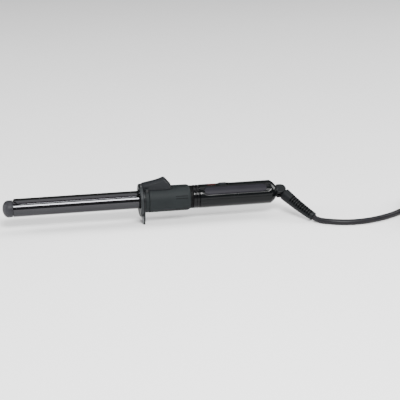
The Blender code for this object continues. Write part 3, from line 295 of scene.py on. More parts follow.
class Graph:
    def __init__(self, name):
        self.material = bpy.data.materials.new(name)
        self.material.use_nodes = True
        self.tree = self.material.node_tree
        self.shader = self.tree.nodes["Principled BSDF"]
        self.coords = self.node("ShaderNodeTexCoord").outputs["Object"]

    def node(self, kind, settings=None, inputs=None):
        made = self.tree.nodes.new(kind)
        for key, value in (settings or {}).items():
            setattr(made, key, value)
        for key, value in (inputs or {}).items():
            self.feed(made.inputs[key], value)
        return made

    def feed(self, socket, value):
        if isinstance(value, Field):
            value = value.socket
        if isinstance(value, bpy.types.NodeSocket):
            self.tree.links.new(value, socket)
        else:
            socket.default_value = value

    def noise(self, scale, detail, stretch=(1, 1, 1)):
        mapped = self.node("ShaderNodeMapping", {}, {"Vector": self.coords, "Scale": stretch})
        made = self.node("ShaderNodeTexNoise", {},
                         {"Vector": mapped.outputs[0], "Scale": scale, "Detail": detail})
        return Field(self, made.outputs[0])

    def ramp(self, factor, low, high):  # 0 below low, 1 above high
        made = self.node("ShaderNodeMapRange", {}, {"Value": factor, "From Min": low, "From Max": high})
        return Field(self, made.outputs[0])

    def blend(self, factor, first, second):
        made = self.node("ShaderNodeMix", {"data_type": "RGBA"}, {0: factor, 6: first, 7: second})
        return made.outputs[2]

    def bump(self, height, strength, distance):
        made = self.node("ShaderNodeBump", {}, {"Height": height, "Strength": strength, "Distance": distance})
        self.feed(self.shader.inputs["Normal"], made.outputs[0])

    def surface(self, **values):
        names = {"colour": "Base Color", "roughness": "Roughness", "metallic": "Metallic",
                 "specular": "Specular IOR Level"}
        for key, value in values.items():
            self.feed(self.shader.inputs[names[key]], value)
        return self.material


def rgb(red, green, blue):
    return (red, green, blue, 1.0)


def coatedMetal(name, tone, rough):
    graph = Graph(name)
    streaks = graph.noise(160.0, 3.0, (0.12, 1.0, 1.0))
    specks = graph.ramp(graph.noise(2600.0, 2.0), 0.62, 0.78)
    haze = graph.noise(22.0, 3.0)
    colour = graph.blend(haze * 0.7 + specks * 0.3, rgb(tone, tone, tone * 1.08),
                         rgb(tone * 1.7, tone * 1.7, tone * 1.85))
    graph.bump(streaks * 0.4 + specks * 0.6, 0.05, 0.006 * mm)
    return graph.surface(colour=colour, roughness=haze * 0.03 + streaks * 0.02 + rough, metallic=0.9)


def mouldedPlastic(name, colour, rough, grain=0.25, grainScale=1500.0, lift=1.25, shine=0.12, shade=None):
    graph = Graph(name)
    fine = graph.noise(grainScale, 2.0)
    broad = graph.noise(45.0, 3.0)
    brighter = tuple(min(1.0, part * lift) for part in colour[:3]) + (1.0,)
    mixed = graph.blend(graph.ramp(broad * 0.8 + fine * 0.2, 0.35, 0.65), colour, brighter)
    if shade:  # painted shade: darker where the piece's own attribute says so
        shadeMask = Field(graph, graph.node("ShaderNodeAttribute", {"attribute_name": shade}).outputs["Fac"])
        mixed = graph.blend(shadeMask, mixed, rgb(0.0006, 0.0006, 0.0007))
    graph.bump(fine, grain, 0.05 * mm)
    return graph.surface(colour=mixed, roughness=broad * 0.12 + fine * 0.06 + (rough - 0.09), specular=shine)


def glossPlastic(name, colour, rough, shine):
    graph = Graph(name)
    peel = graph.noise(260.0, 2.0)
    scratches = graph.ramp(graph.noise(900.0, 2.0, (0.05, 1.0, 1.0)), 0.66, 0.75)
    smears = graph.ramp(graph.noise(30.0, 4.0), 0.4, 0.7)
    brighter = tuple(min(1.0, part * 1.5 + 0.004) for part in colour[:3]) + (1.0,)
    graph.bump(peel * 0.8 - scratches * 0.2, 0.05, 0.05 * mm)
    return graph.surface(colour=graph.blend(scratches * 0.5 + smears * 0.3, colour, brighter),
                         roughness=smears * 0.06 + scratches * 0.1 + rough, specular=shine)


def brushedMetal(name, colour, rough, along=(0.06, 1.0, 1.0), metallic=1.0):
    graph = Graph(name)
    lines = graph.noise(1400.0, 3.0, along)
    stains = graph.noise(60.0, 3.0)
    darker = tuple(part * 0.7 for part in colour[:3]) + (1.0,)
    graph.bump(lines, 0.15, 0.03 * mm)
    return graph.surface(colour=graph.blend(lines * 0.6 + stains * 0.4, darker, colour),
                         roughness=lines * 0.12 + stains * 0.08 + (rough - 0.1), metallic=metallic)


def wovenStrap(name, colour):
    graph = Graph(name)
    weave = graph.node("ShaderNodeTexWave", {"wave_type": "BANDS", "bands_direction": "DIAGONAL"},
                       {"Vector": graph.coords, "Scale": 900.0, "Distortion": 1.5, "Detail": 2.0})
    threads = Field(graph, weave.outputs[1])
    fuzz = graph.noise(2200.0, 3.0)
    brighter = tuple(part * 2.2 for part in colour[:3]) + (1.0,)
    graph.bump(threads * 0.6 + fuzz * 0.4, 0.5, 0.1 * mm)
    return graph.surface(colour=graph.blend(threads * 0.6 + fuzz * 0.4, colour, brighter),
                         roughness=fuzz * 0.1 + 0.8)


finishes = {
    "barrel": coatedMetal("barrelCoating", 0.028, 0.03),
    "tip": mouldedPlastic("heatproofResin", rgb(0.016, 0.016, 0.0185), 0.5, 0.35, 900.0, 1.8, 0.16),
    "guard": mouldedPlastic("guardResin", rgb(0.011, 0.0128, 0.014), 0.5, 0.3, 1300.0, 1.3, 0.2),
    "lever": mouldedPlastic("leverResin", rgb(0.0085, 0.0092, 0.0105), 0.46, 0.3, 1300.0, 1.4),
    "grip": mouldedPlastic("softTouchRubber", rgb(0.0085, 0.0105, 0.0112), 0.62, 0.35, 2200.0, 1.3),
    # painted shade: the near-black finish of the strips that stand for the shadow in the sleeve's flutes
    "groove": mouldedPlastic("fluteShadow", rgb(0.0022, 0.0024, 0.0026), 0.7, 0.3, 2200.0, 1.4, 0.05),
    "gloss": glossPlastic("glossBlackShell", rgb(0.0025, 0.003, 0.0033), 0.12, 0.14),
    "ring": glossPlastic("glossRing", rgb(0.0025, 0.0025, 0.003), 0.14, 0.14),
    "satin": mouldedPlastic("satinPanel", rgb(0.0095, 0.009, 0.012), 0.46, 0.12, 2600.0, 1.25, 0.08),
    # the foot's metal in two copies: a lighter one for its front facing, painted light from the left, over a
    # real metal tone
    "foot": brushedMetal("footMetal", rgb(0.13, 0.134, 0.138), 0.5, (1.0, 1.0, 0.06), 0.25),
    "blackened": brushedMetal("blackenedSteel", rgb(0.020, 0.020, 0.021), 0.4, (0.06, 1.0, 1.0), 0.6),
    # painted shade: near-black copy of the foot's metal for its edges
    "footEdge": mouldedPlastic("footEdgeLacquer", rgb(0.012, 0.013, 0.014), 0.4, 0.15, 900.0, 1.5),
    "steel": brushedMetal("steel", rgb(0.62, 0.62, 0.64), 0.32),
    "aluminium": brushedMetal("castAluminium", rgb(0.75, 0.75, 0.77), 0.4),
    "pinMetal": brushedMetal("nickelledPin", rgb(0.78, 0.76, 0.72), 0.22),
    "ceramic": mouldedPlastic("ceramicPlate", rgb(0.72, 0.70, 0.64), 0.6, 0.2, 700.0, 1.1),
    "bearing": mouldedPlastic("slidingResin", rgb(0.003, 0.003, 0.0032), 0.5, 0.1, 800.0, 1.3, 0.05),
    "board": mouldedPlastic("boardLaminate", rgb(0.02, 0.13, 0.05), 0.45, 0.2, 500.0, 1.5),
    "lens": glossPlastic("redLens", rgb(0.035, 0.009, 0.009), 0.14, 0.3),
    # the relief's slots get painted shade through its groove attribute
    "relief": mouldedPlastic("reliefRubber", rgb(0.004, 0.0047, 0.0053), 0.42, 0.3, 1600.0, 1.5, 0.12,
                             "groove"),
    "cord": mouldedPlastic("cordSheath", rgb(0.0075, 0.0072, 0.0085), 0.4, 0.2, 1200.0, 1.4, 0.16),
    "plug": mouldedPlastic("plugResin", rgb(0.007, 0.007, 0.0075), 0.34, 0.2, 1500.0, 1.4, 0.2),
    "tie": wovenStrap("tieWeave", rgb(0.015, 0.015, 0.016)),
}


def claim(piece, body, slotName, *nodes):  # nodes are the CAD nodes it stands for
    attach(piece, body)
    if nodes:
        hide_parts(*nodes)
    return piece


cameraValues = {"azimuth": -11.0, "elevation": 20.5, "distance": 1.3, "lens": 102.6,
                "ahead": 65.3 * mm, "height": 22.2 * mm}


def makeCamera(values):
    turn = math.radians(values["azimuth"])
    rise = math.radians(values["elevation"])
    back = Vector((math.sin(turn) * math.cos(rise), -math.cos(turn) * math.cos(rise), math.sin(rise)))
    camera = bpy.data.objects.new("camera", bpy.data.cameras.new("camera"))
    camera.data.lens = values["lens"]
    camera.data.sensor_width = 36.0
    camera.data.clip_start = 0.05
    camera.location = Vector((values["ahead"], 0.0, values["height"])) + back * values["distance"]
    camera.rotation_mode = "QUATERNION"
    camera.rotation_quaternion = (-back).to_track_quat("-Z", "Y")
    bpy.context.scene.collection.objects.link(camera)
    bpy.context.scene.camera = camera


studioValues = {"floorSize": 9.0, "worldTone": 1.0, "worldStrength": 0.14}


def makeFloor(values):
    graph = Graph("paleFloor")
    cloud = graph.noise(3.0, 3.0)
    graph.surface(colour=graph.blend(cloud, rgb(0.90, 0.90, 0.90), rgb(0.93, 0.93, 0.93)),
                  roughness=cloud * 0.05 + 0.7)
    half = values["floorSize"] / 2
    mesh = bpy.data.meshes.new("floor")
    corners = [(-half, -half, 0), (half, -half, 0), (half, half, 0), (-half, half, 0)]
    mesh.from_pydata(corners, [], [(0, 1, 2, 3)])
    floor = makeObject("floor", mesh, graph.material)
    world = bpy.data.worlds.new("studio")
    bpy.context.scene.world = world
    world.use_nodes = True
    shade = world.node_tree.nodes["Background"]
    shade.inputs["Color"].default_value = rgb(values["worldTone"], values["worldTone"], values["worldTone"])
    shade.inputs["Strength"].default_value = values["worldStrength"]


def makeLight(name, spot, target, size, power):
    lamp = bpy.data.lights.new(name, "AREA")
    lamp.shape = "RECTANGLE"
    lamp.size, lamp.size_y = size
    lamp.energy = power
    light = bpy.data.objects.new(name, lamp)
    light.location = spot
    light.rotation_mode = "QUATERNION"
    light.rotation_quaternion = (Vector(target) - Vector(spot)).to_track_quat("-Z", "Y")
    bpy.context.scene.collection.objects.link(light)


middle = (0.03, 0.0, axisHeight)
lightValues = {  # where it hangs, what it points at, size, watts
    "softBox": ((0.04, -1.05, 1.10), (0.04, 0.0, axisHeight), (0.62, 0.42), 42.0),
    "rightBox": ((0.64, -1.02, 1.08), (0.2, 0.0, axisHeight), (0.5, 0.45), 8.0),
    "overhead": ((0.1, 0.35, 1.8), middle, (2.4, 1.2), 20.0),
    "leftFill": ((-1.9, 0.1, 0.9), middle, (0.9, 1.4), 45.0),
    "farFill": ((2.0, 0.3, 1.0), middle, (0.9, 1.4), 45.0),
}
makeCamera(cameraValues)
makeFloor(studioValues)
for name, (spot, target, size, power) in lightValues.items():
    makeLight(name, spot, target, size, power)
print("camera, floor and lights are set")


cordValues = {"diameter": 6.5 * mm, "length": 2.5, "columns": 3, "layers": 3, "lift": 1.0 * mm,
              "centre": Vector((0.357, -0.030, 0.0)), "meanRadius": 39.0 * mm, "entryAngle": 137.0}
swivelValues = {"knuckle": 6.1 * mm, "knuckleThickness": 5.4 * mm, "setback": 5.7 * mm, "flange": 8.3 * mm,
                "neck": 6.0 * mm, "lip": 6.6 * mm, "bore": 2.0 * mm, "forkHalf": 2.3 * mm,
                "forkFront": 4.9 * mm, "forkReach": 9.0 * mm, "pinHole": 1.8 * mm}
reliefValues = {"start": 6.4 * mm, "length": 51.0 * mm, "startRadius": 6.9 * mm, "endRadius": 4.95 * mm,
                "slots": 10, "firstSlot": 19.0 * mm, "pitch": 3.05 * mm, "slotWidth": 1.6 * mm,
                "slotDepth": 2.0 * mm, "bow": 0.7 * mm, "endRounding": 0.8 * mm, "eyeRadius": 4.6 * mm,
                "tilt": 53.2, "side": 31.5}

sideAngle = math.radians(reliefValues["side"])
tiltAngle = math.radians(reliefValues["tilt"])
lean = Vector((0.0, -math.cos(sideAngle), -math.sin(sideAngle)))
reliefDirection = Vector((1, 0, 0)) * math.cos(tiltAngle) + lean * math.sin(tiltAngle)
cordStart = pivot + reliefDirection * (reliefValues["length"] + 0.3 * mm)
cordRoute = [
    tuple(cordStart),
    tuple(cordStart + reliefDirection * 3.0 * mm),
    (0.1968, -0.0415, 0.0034),
    (0.2066, -0.0468, 0.0034),
    (0.2170, -0.0505, 0.0034),
    (0.2282, -0.0526, 0.0034),
    (0.2400, -0.0527, 0.0034),
    (0.2525, -0.0508, 0.0034),
    (0.2657, -0.0470, 0.0034),
    (0.2799, -0.0407, 0.0034),
    (0.2923, -0.0335, 0.0035),
    (0.3040, -0.0242, 0.0038),
]
tailRoute = [  # angle in degrees, radius, height over the coil's top
    (96, 33.5 * mm, 3.6 * mm),
    (70, 35.5 * mm, 3.6 * mm),
    (45, 37.5 * mm, 3.6 * mm),
    (20, 39.3 * mm, 3.6 * mm),
    (-5, 40.8 * mm, 3.6 * mm),
    (-30, 42.0 * mm, 3.7 * mm),
    (-52, 42.8 * mm, 4.6 * mm),
    (-70, 43.0 * mm, 6.2 * mm),
]
plugValues = {"angle": 141.0, "length": 36.0 * mm, "halfWidth": 17.5 * mm, "halfThickness": 7.0 * mm,
              "pinRadius": 2.0 * mm, "pinLength": 19.0 * mm, "pinSpacing": 18.6 * mm, "sleeve": 9.0 * mm,
              "pinRoot": 3.0 * mm, "aside": 33.0 * mm, "behind": 27.0 * mm, "grips": 6, "gripPitch": 2.2 * mm}
tieValues = {"angle": 122.0, "halfLength": 4.0 * mm, "wall": 0.6 * mm, "clearance": 0.57 * mm}
coilTop = cordValues["lift"] + cordValues["layers"] * cordValues["diameter"] + 0.1 * mm
plugAngle = math.radians(plugValues["angle"])
plugHeading = Vector((math.cos(plugAngle), math.sin(plugAngle), 0))


def plugStart():
    turn = math.radians(plugValues["angle"] + 90)
    foot = cordValues["centre"] + Vector((math.cos(turn), math.sin(turn), 0)) * plugValues["aside"]
    height = coilTop + 0.3 * mm + plugValues["halfThickness"]
    return foot - plugHeading * plugValues["behind"] + Vector((0, 0, height))


def coilPoint(angle, radius, height):
    turn = math.radians(angle)
    return cordValues["centre"] + Vector((radius * math.cos(turn), radius * math.sin(turn), height))


def coilTurns():  # in, out and in again, layer on layer
    values = cordValues
    half = values["diameter"] / 2
    columns = values["columns"]
    radii = [values["meanRadius"] + (columns - 1 - 2 * k) * half for k in range(columns)]
    places = []
    for layer in range(values["layers"]):
        height = values["lift"] + half + layer * values["diameter"]
        order = radii if layer % 2 == 0 else list(reversed(radii))
        places += [(radius, height) for radius in order]
    steps = 24
    made = []
    for turn, (radius, height) in enumerate(places):
        nextRadius, nextHeight = places[min(turn + 1, len(places) - 1)]
        for step in range(steps):
            share = step / steps
            shift = max(0.0, (share - 0.72) / 0.28)
            shift = shift * shift * (3 - 2 * shift)
            made.append(coilPoint(values["entryAngle"] - 360.0 * share,
                                  radius + (nextRadius - radius) * shift,
                                  height + (nextHeight - height) * shift))
    return made


def makeCord():
    start = plugStart()
    route = cordRoute + coilTurns()
    lastLayer = cordValues["lift"] + (cordValues["layers"] - 0.5) * cordValues["diameter"]
    route.append(coilPoint(cordValues["entryAngle"], 32.5 * mm, lastLayer + 0.2 * mm))
    route.append(coilPoint(116, 32.8 * mm, lastLayer + 3.6 * mm))
    route += [coilPoint(angle, radius, coilTop + lift) for angle, radius, lift in tailRoute]
    route.append(start - plugHeading * 4.0 * mm)
    route.append(start + plugHeading * 1.0 * mm)
    points, length = smoothRoute(route, 3.0 * mm)
    curve = bpy.data.curves.new("mainsCord", "CURVE")
    curve.dimensions = "3D"
    curve.bevel_depth = cordValues["diameter"] / 2
    curve.bevel_resolution = 5
    curve.use_fill_caps = True
    spline = curve.splines.new("POLY")
    spline.points.add(len(points) - 1)
    for knot, point in zip(spline.points, points):
        knot.co = (*point, 1.0)
    curve.materials.append(finishes["cord"])
    piece = bpy.data.objects.new("mainsCord", curve)
    bpy.context.scene.collection.objects.link(piece)
    print("cord length", round(length, 3))
    return claim(piece, "lead", "cord_sheath", "cord", "cord_coil", "cord_tail")


def superOutline(halfWidth, halfHeight, sides=48, squareness=3.0):
    made = []
    for step in range(sides):
        turn = 2 * math.pi * step / sides
        a, b = math.cos(turn), math.sin(turn)
        made.append((halfWidth * math.copysign(abs(a) ** (2 / squareness), a),
                     halfHeight * math.copysign(abs(b) ** (2 / squareness), b)))
    return made


def makePlug():
    values = plugValues
    place = placeAlong(plugStart(), plugHeading)
    wide, thick = values["halfWidth"], values["halfThickness"]
    shape = [(0.0, 3.9 * mm, 3.9 * mm), (0.4 * mm, 4.3 * mm, 4.3 * mm), (4.5 * mm, 4.7 * mm, 4.7 * mm),
             (9.0 * mm, 5.3 * mm, 5.1 * mm), (11.5 * mm, 7.6 * mm, 5.6 * mm),
             (14.0 * mm, 11.0 * mm, 6.2 * mm), (17.0 * mm, 14.2 * mm, 6.7 * mm),
             (20.5 * mm, 16.3 * mm, 6.95 * mm), (25.0 * mm, wide, thick), (30.0 * mm, wide, thick),
             (values["length"] - 1.2 * mm, wide - 0.4 * mm, thick - 0.3 * mm),
             (values["length"] - 0.4 * mm, wide - 0.8 * mm, thick - 0.7 * mm),
             (values["length"], wide - 1.8 * mm, thick - 1.6 * mm)]
    rows = [[place @ Vector((x, y, z)) for y, z in superOutline(width, height)] for x, width, height in shape]
    body = claim(skin("plugBody", rows, finishes["plug"]), "lead", "plug_plastic", "plug_body")
    grips = softBox("plugGrips", (15.0 * mm, -9.0 * mm, thick - 0.9 * mm), (15.9 * mm, 9.0 * mm, thick),
                    finishes["plug"], 0.3 * mm, place)
    repeated(grips, values["grips"], finishes["plug"], tuple(plugHeading * values["gripPitch"]))
    claim(grips, "lead", "plug_plastic")
    pieces = [body, grips]
    for name, side in (("line", -1), ("neutral", 1)):
        spot = place @ Vector((values["length"] - values["pinRoot"], side * values["pinSpacing"] / 2, 0))
        along = placeAlong(spot, plugHeading)
        radius = values["pinRadius"]
        end = values["pinLength"] + values["pinRoot"]
        bare = end - values["sleeve"]
        metal = turned(f"pinMetal.{name}", [(0, 0), (0, radius * 0.86), (bare, radius * 0.86),
                                            (bare, radius, 0.2 * mm), (end, radius, 1.2 * mm), (end, 0)],
                       finishes["pinMetal"], 32, False, along)
        claim(metal, "lead", "pin_metal", f"plug_pin_{name}")
        sleeveEnd = bare - 0.1 * mm
        sleeve = turned(f"pinSleeve.{name}", [(0, radius * 0.9), (0, radius), (sleeveEnd, radius),
                                              (sleeveEnd, radius * 0.9)], finishes["plug"], 32, True, along)
        claim(sleeve, "lead", "plug_plastic")
        pieces += [metal, sleeve]
    return pieces


def makeTie(values):
    low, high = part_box("cord_tie")
    angle = math.radians(values["angle"])
    across = Vector((math.cos(angle), math.sin(angle), 0))
    along = Vector((-math.sin(angle), math.cos(angle), 0))
    centre = cordValues["centre"] + across * cordValues["meanRadius"] + Vector((0, 0, (low.z + high.z) / 2))
    halfHeight = (high.z - low.z) / 2
    halfWidth = cordValues["columns"] * cordValues["diameter"] / 2 + values["clearance"] + values["wall"]
    steps = 6
    outside = [(step, 0.1 * mm if step in (0, steps) else 0.0) for step in range(steps + 1)]
    inside = [(step, values["wall"]) for step in reversed(range(steps + 1))]
    rows = []
    for step, thin in outside + inside:
        spot = values["halfLength"] * (2 * step / steps - 1)
        rows.append([centre + along * spot + across * a + Vector((0, 0, b))
                     for a, b in superOutline(halfWidth - thin, halfHeight - thin, 64, 12)])
    return claim(skin("cordTie", rows, finishes["tie"], wrap=True), "lead", "tie_fabric", "cord_tie")


cord = makeCord()
plugPieces = makePlug()
tie = makeTie(tieValues)
plugPieces + [tie]
print("cord, plug and tie are made")


barrelValues = {"wall": 1.2 * mm, "edge": 0.25 * mm, "domeLength": 6.6 * mm, "seam": 0.35 * mm}
clipValues = {"halfAngle": 48.0, "tipHalfAngle": 14.0, "taper": 7.6 * mm, "strapHalfWidth": 5.3 * mm,
              "gap": 0.3 * mm, "thickness": 1.1 * mm}


def makeBarrel(values):
    low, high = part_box("barrel_tube")
    radius = (high.z - low.z) / 2
    inner = radius - values["wall"]
    edge = values["edge"]
    piece = turned("barrelTube", [(low.x, inner), (low.x, radius, edge), (low.x + 1.0 * mm, radius),
                                  (high.x - 1.0 * mm, radius), (high.x, radius, edge), (high.x, inner)],
                   finishes["barrel"], 128)
    claim(piece, "barrel_unit", "dark_metal", "barrel_tube")
    return radius, low.x


def makeTip(values, radius, tipX):
    low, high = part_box("tip_cap")
    dome = []
    steps = 22
    for step in range(steps + 1):
        turn = math.pi / 2 * step / steps
        dome.append((low.x + values["domeLength"] * (1 - math.cos(turn)), radius * math.sin(turn) ** 0.94))
    seam = tipX - 0.3 * mm
    corners = dome + [(seam - 1.6 * mm, radius), (seam - 1.4 * mm, radius - 0.25 * mm),
                      (seam - 1.0 * mm, radius - 0.25 * mm), (seam - 0.8 * mm, radius),
                      (seam, radius, values["seam"]), (seam, radius - 1.5 * mm), (high.x, radius - 1.5 * mm),
                      (high.x, 0.0)]
    tip = turned("coolTip", corners, finishes["tip"], 96, False)
    claim(tip, "barrel_unit", "heatproof_plastic", "tip_cap")


def sheetSection(x, half, inner, outer, steps=40):  # a bent sheet with round long edges
    angles = [math.radians(-half + 2 * half * step / steps) for step in range(steps + 1)]
    mid = (inner + outer) / 2
    bulge = math.radians(half) + (outer - inner) * 0.5 / mid
    outside = [barrelPoint(x, outer, a) for a in angles]
    inside = [barrelPoint(x, inner, a) for a in reversed(angles)]
    return outside + [barrelPoint(x, mid, bulge)] + inside + [barrelPoint(x, mid, -bulge)]


def makeClip(values, radius):
    low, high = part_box("clip")
    inner = radius + values["gap"]
    outer = inner + values["thickness"]
    start = low.x
    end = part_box("flange")[0].x - 2 * values["gap"]
    stations = []
    steps = 14
    for step in range(steps + 1):
        share = step / steps
        half = values["tipHalfAngle"] + (values["halfAngle"] - values["tipHalfAngle"]) * share
        stations.append((start + values["taper"] * (0.12 * share + 0.88 * share ** 1.5), half))
    taperEnd = start + values["taper"]
    for step in range(1, 25):
        stations.append((taperEnd + (end - taperEnd) * step / 24, values["halfAngle"]))
    edge = 0.22 * mm
    rows = [sheetSection(start, stations[0][1], inner + edge, outer - edge)]
    rows += [sheetSection(x + (edge if index == 0 else 0.0), half, inner, outer)
             for index, (x, half) in enumerate(stations)]
    rows[-1] = sheetSection(end - edge, values["halfAngle"], inner, outer)
    rows.append(sheetSection(end, values["halfAngle"], inner + edge, outer - edge))
    sheet = skin("clipSheet", rows, finishes["barrel"], smoothAngle=50.0)
    claim(sheet, "clip_unit", "dark_metal", "clip")
    half = values["strapHalfWidth"]
    strap = softBox("clipStrap", (end - 0.6 * mm, -half, axisHeight + inner + 0.05 * mm),
                    (high.x, half, axisHeight + outer - 0.05 * mm), finishes["barrel"], 0.2 * mm)
    claim(strap, "clip_unit", "dark_metal")


barrelRadius, barrelTipX = makeBarrel(barrelValues)
makeTip(barrelValues, barrelRadius, barrelTipX)
makeClip(clipValues, barrelRadius)
print("barrel, tip and clip are made")


guardValues = {"rim": 0.9 * mm, "dish": 1.1 * mm, "notchHalfWidth": 6.5 * mm, "bore": 9.8 * mm}
footValues = {"halfWidth": 9.0 * mm, "corner": 1.2 * mm, "facing": 0.3 * mm, "wedgeInset": 0.5 * mm,
              "wedgeBottom": 0.5 * mm, "wedgeTop": 10.4 * mm, "wedgeReach": 3.1 * mm}
collarValues = {"earThickness": 1.9 * mm, "earBottom": 8.0 * mm, "pinHole": 1.7 * mm}
sleeveValues = {"wall": 2.2 * mm, "slotHalfWidth": 7.4 * mm, "slotCorner": 3.6 * mm, "chamfer": 2.6 * mm,
                "endRadius": 13.5 * mm, "flutes": 6, "fluteAngle": 9.5, "fluteSpread": 5.0,
                "fluteLength": 14.0 * mm, "fluteHeight": 0.03 * mm, "fluteWidth": 0.7 * mm}
leverValues = {"halfWidth": 6.5 * mm, "wall": 1.7 * mm, "roof": 8.6 * mm, "pocketStart": 16.5 * mm,
               "pinHole": 1.8 * mm, "ribs": 6, "ribHeight": 0.45 * mm}


def makeGuard(values):
    low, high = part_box("flange")
    radius = (high.y - low.y) / 2
    front, back = low.x, high.x
    bore = values["bore"]
    hollow = front + values["dish"]
    rim = values["rim"]
    disc = turned("handGuard", [(hollow, bore), (hollow, bore + 1.2 * mm, 0.8 * mm),
                                (front, radius - 1.7 * mm, 0.9 * mm), (front, radius - 0.4 * mm, 0.4 * mm),
                                (front + 1.2 * mm, radius, 0.6 * mm), (back, radius - 0.2 * mm, rim),
                                (back, bore)], finishes["guard"], 128)
    half = values["notchHalfWidth"]
    notch = softBox("notch", (front - 2 * mm, -half, axisHeight + barrelRadius / 2),
                    (back + 2 * mm, half, axisHeight + radius + 3 * mm), finishes["guard"], 0.0)
    carve(disc, notch)
    bevelled(disc, 0.25 * mm, 2, 50.0)
    claim(disc, "barrel_unit", "guard_plastic", "flange")


def footOutline(values):  # straight to the floor, round the collar, open at the lever
    low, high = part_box("stand_foot")
    bore = guardValues["bore"]
    ring = (high.y - low.y) / 2
    gate = sleeveValues["slotHalfWidth"]
    half = values["halfWidth"]
    corner = values["corner"]
    floor = low.z - axisHeight
    outerEnd, innerEnd = math.acos(gate / ring), math.acos(gate / bore)
    outer = [(ring * math.cos(outerEnd * k / 24), ring * math.sin(outerEnd * k / 24)) for k in range(25)]
    sweep = math.pi + 2 * innerEnd
    inner = [(bore * math.cos(innerEnd - sweep * k / 64), bore * math.sin(innerEnd - sweep * k / 64))
             for k in range(65)]
    return ([(-half + corner, floor), (half - corner, floor), (half, floor + corner)] + outer + inner
            + [(-y, z) for y, z in reversed(outer)] + [(-half, floor + corner)])


def makeFoot(values):
    low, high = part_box("stand_foot")
    facing = values["facing"]
    outline = footOutline(values)
    # painted shade: the plate's edges take the near-black copy of the foot's metal
    plate = skin("standFoot", [[Vector((x, y, axisHeight + z)) for y, z in outline]
                               for x in (low.x + facing, high.x)], finishes["footEdge"])
    bevelled(plate, 0.18 * mm, 2)
    claim(plate, "barrel_unit", "foot_metal", "stand_foot")
    half = values["halfWidth"] - values["wedgeInset"]
    back = low.x + facing + 0.02 * mm
    levels = [(low.z + values["wedgeBottom"], low.x),
              (low.z + values["wedgeTop"], low.x - values["wedgeReach"])]  # height, front face
    rows = []
    for z, front in levels:
        corners = ((front, -half), (back, -half), (back, half), (front, half))
        rows.append([Vector((x, y, z)) for x, y in corners])
    # painted light: the front facing takes the lighter copy of the foot's metal, for the light falling on it
    # from the left
    wedge = skin("footFacing", rows, finishes["foot"])
    bevelled(wedge, 0.15 * mm, 2)
    claim(wedge, "barrel_unit", "foot_metal")


def drill(reach, radius, finish, place):  # a round tool for carve
    profile = [(-reach, 0), (-reach, radius), (reach, radius), (reach, 0)]
    return turned("hole", profile, finish, 32, False, place)


def makeCollar(values):
    low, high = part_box("collar")
    radius = (high.y - low.y) / 2
    bore = guardValues["bore"]
    collar = turned("hingeCollar", [(low.x, bore), (low.x, radius, 0.3 * mm), (high.x, radius, 0.5 * mm),
                                    (high.x, bore)], finishes["grip"], 128)
    inner = sleeveValues["slotHalfWidth"]
    gate = softBox("gate", (low.x - 2 * mm, -inner, axisHeight + bore * 0.6),
                   (high.x + 2 * mm, inner, axisHeight + 20 * mm), finishes["grip"], 0.0)
    carve(collar, gate)
    claim(collar, "barrel_unit", "guard_plastic", "collar")
    for name, side in (("near", -1), ("far", 1)):
        face = inner + 0.05 * mm
        ends = sorted((side * face, side * (face + values["earThickness"])))
        ear = softBox(f"hingeEar.{name}", (low.x + 0.1 * mm, ends[0], axisHeight + values["earBottom"]),
                      (high.x - 0.1 * mm, ends[1], high.z), finishes["grip"], 0.7 * mm)
        place = placeAlong(leverPin + Vector((0, side * (inner + mm), 0)), (0, 1, 0))
        carve(ear, drill(3 * mm, values["pinHole"], finishes["grip"], place))
        claim(ear, "barrel_unit", "guard_plastic")


def makeSleeve(values):
    low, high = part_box("grip_sleeve")
    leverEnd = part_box("thumb_lever")[1].x
    radius = (high.y - low.y) / 2
    inner = radius - values["wall"]
    shoulder = high.x - values["chamfer"]
    endRadius = values["endRadius"]
    sleeve = turned("gripSleeve", [
        (low.x, inner), (low.x, radius, 0.35 * mm), (low.x + 2 * mm, radius), (shoulder - 6 * mm, radius),
        (shoulder, radius, 0.7 * mm), (high.x - 0.2 * mm, endRadius + 0.05 * mm, 0.3 * mm),
        (high.x, endRadius - 0.3 * mm, 0.2 * mm), (high.x, inner)], finishes["grip"], 144)
    half = values["slotHalfWidth"]
    end = leverEnd + 0.8 * mm
    corner = values["slotCorner"]
    outline = [(low.x - 2 * mm, -half), (end - corner, -half)]
    for step in range(1, 12):
        turn = math.pi / 2 * step / 12
        outline.append((end - corner + corner * math.sin(turn), -half + corner - corner * math.cos(turn)))
    outline += [(x, -y) for x, y in reversed(outline)]
    heights = (axisHeight + inner / 2, axisHeight + radius + 2 * mm)
    rows = [[Vector((x, y, z)) for x, y in outline] for z in heights]
    carve(sleeve, skin("slot", rows, finishes["grip"]))
    bevelled(sleeve, 0.3 * mm, 2, 55.0)
    claim(sleeve, "barrel_unit", "soft_grip", "grip_sleeve")
    # painted shade: thin near-black strips in the flutes, standing for their shadow
    start = shoulder - values["fluteLength"] - 0.8 * mm
    for name, side in (("first", -1), ("second", 1)):
        angle = math.radians(values["fluteAngle"] + side * values["fluteSpread"])
        place = Matrix.Translation((0, 0, axisHeight)) @ Matrix.Rotation(angle, 4, "X")
        halfFlute = values["fluteWidth"] / 2
        flute = softBox(f"sleeveFluteShade.{name}", (start, -halfFlute, radius - 0.5 * mm),
                        (start + values["fluteLength"], halfFlute, radius + values["fluteHeight"]),
                        finishes["groove"], 0.1 * mm, place)
        repeated(flute, values["flutes"], finishes["groove"], turn=(2 * math.pi / values["flutes"], 0, 0),
                 pivotPoint=(0, 0, axisHeight))
        claim(flute, "barrel_unit", "soft_grip")


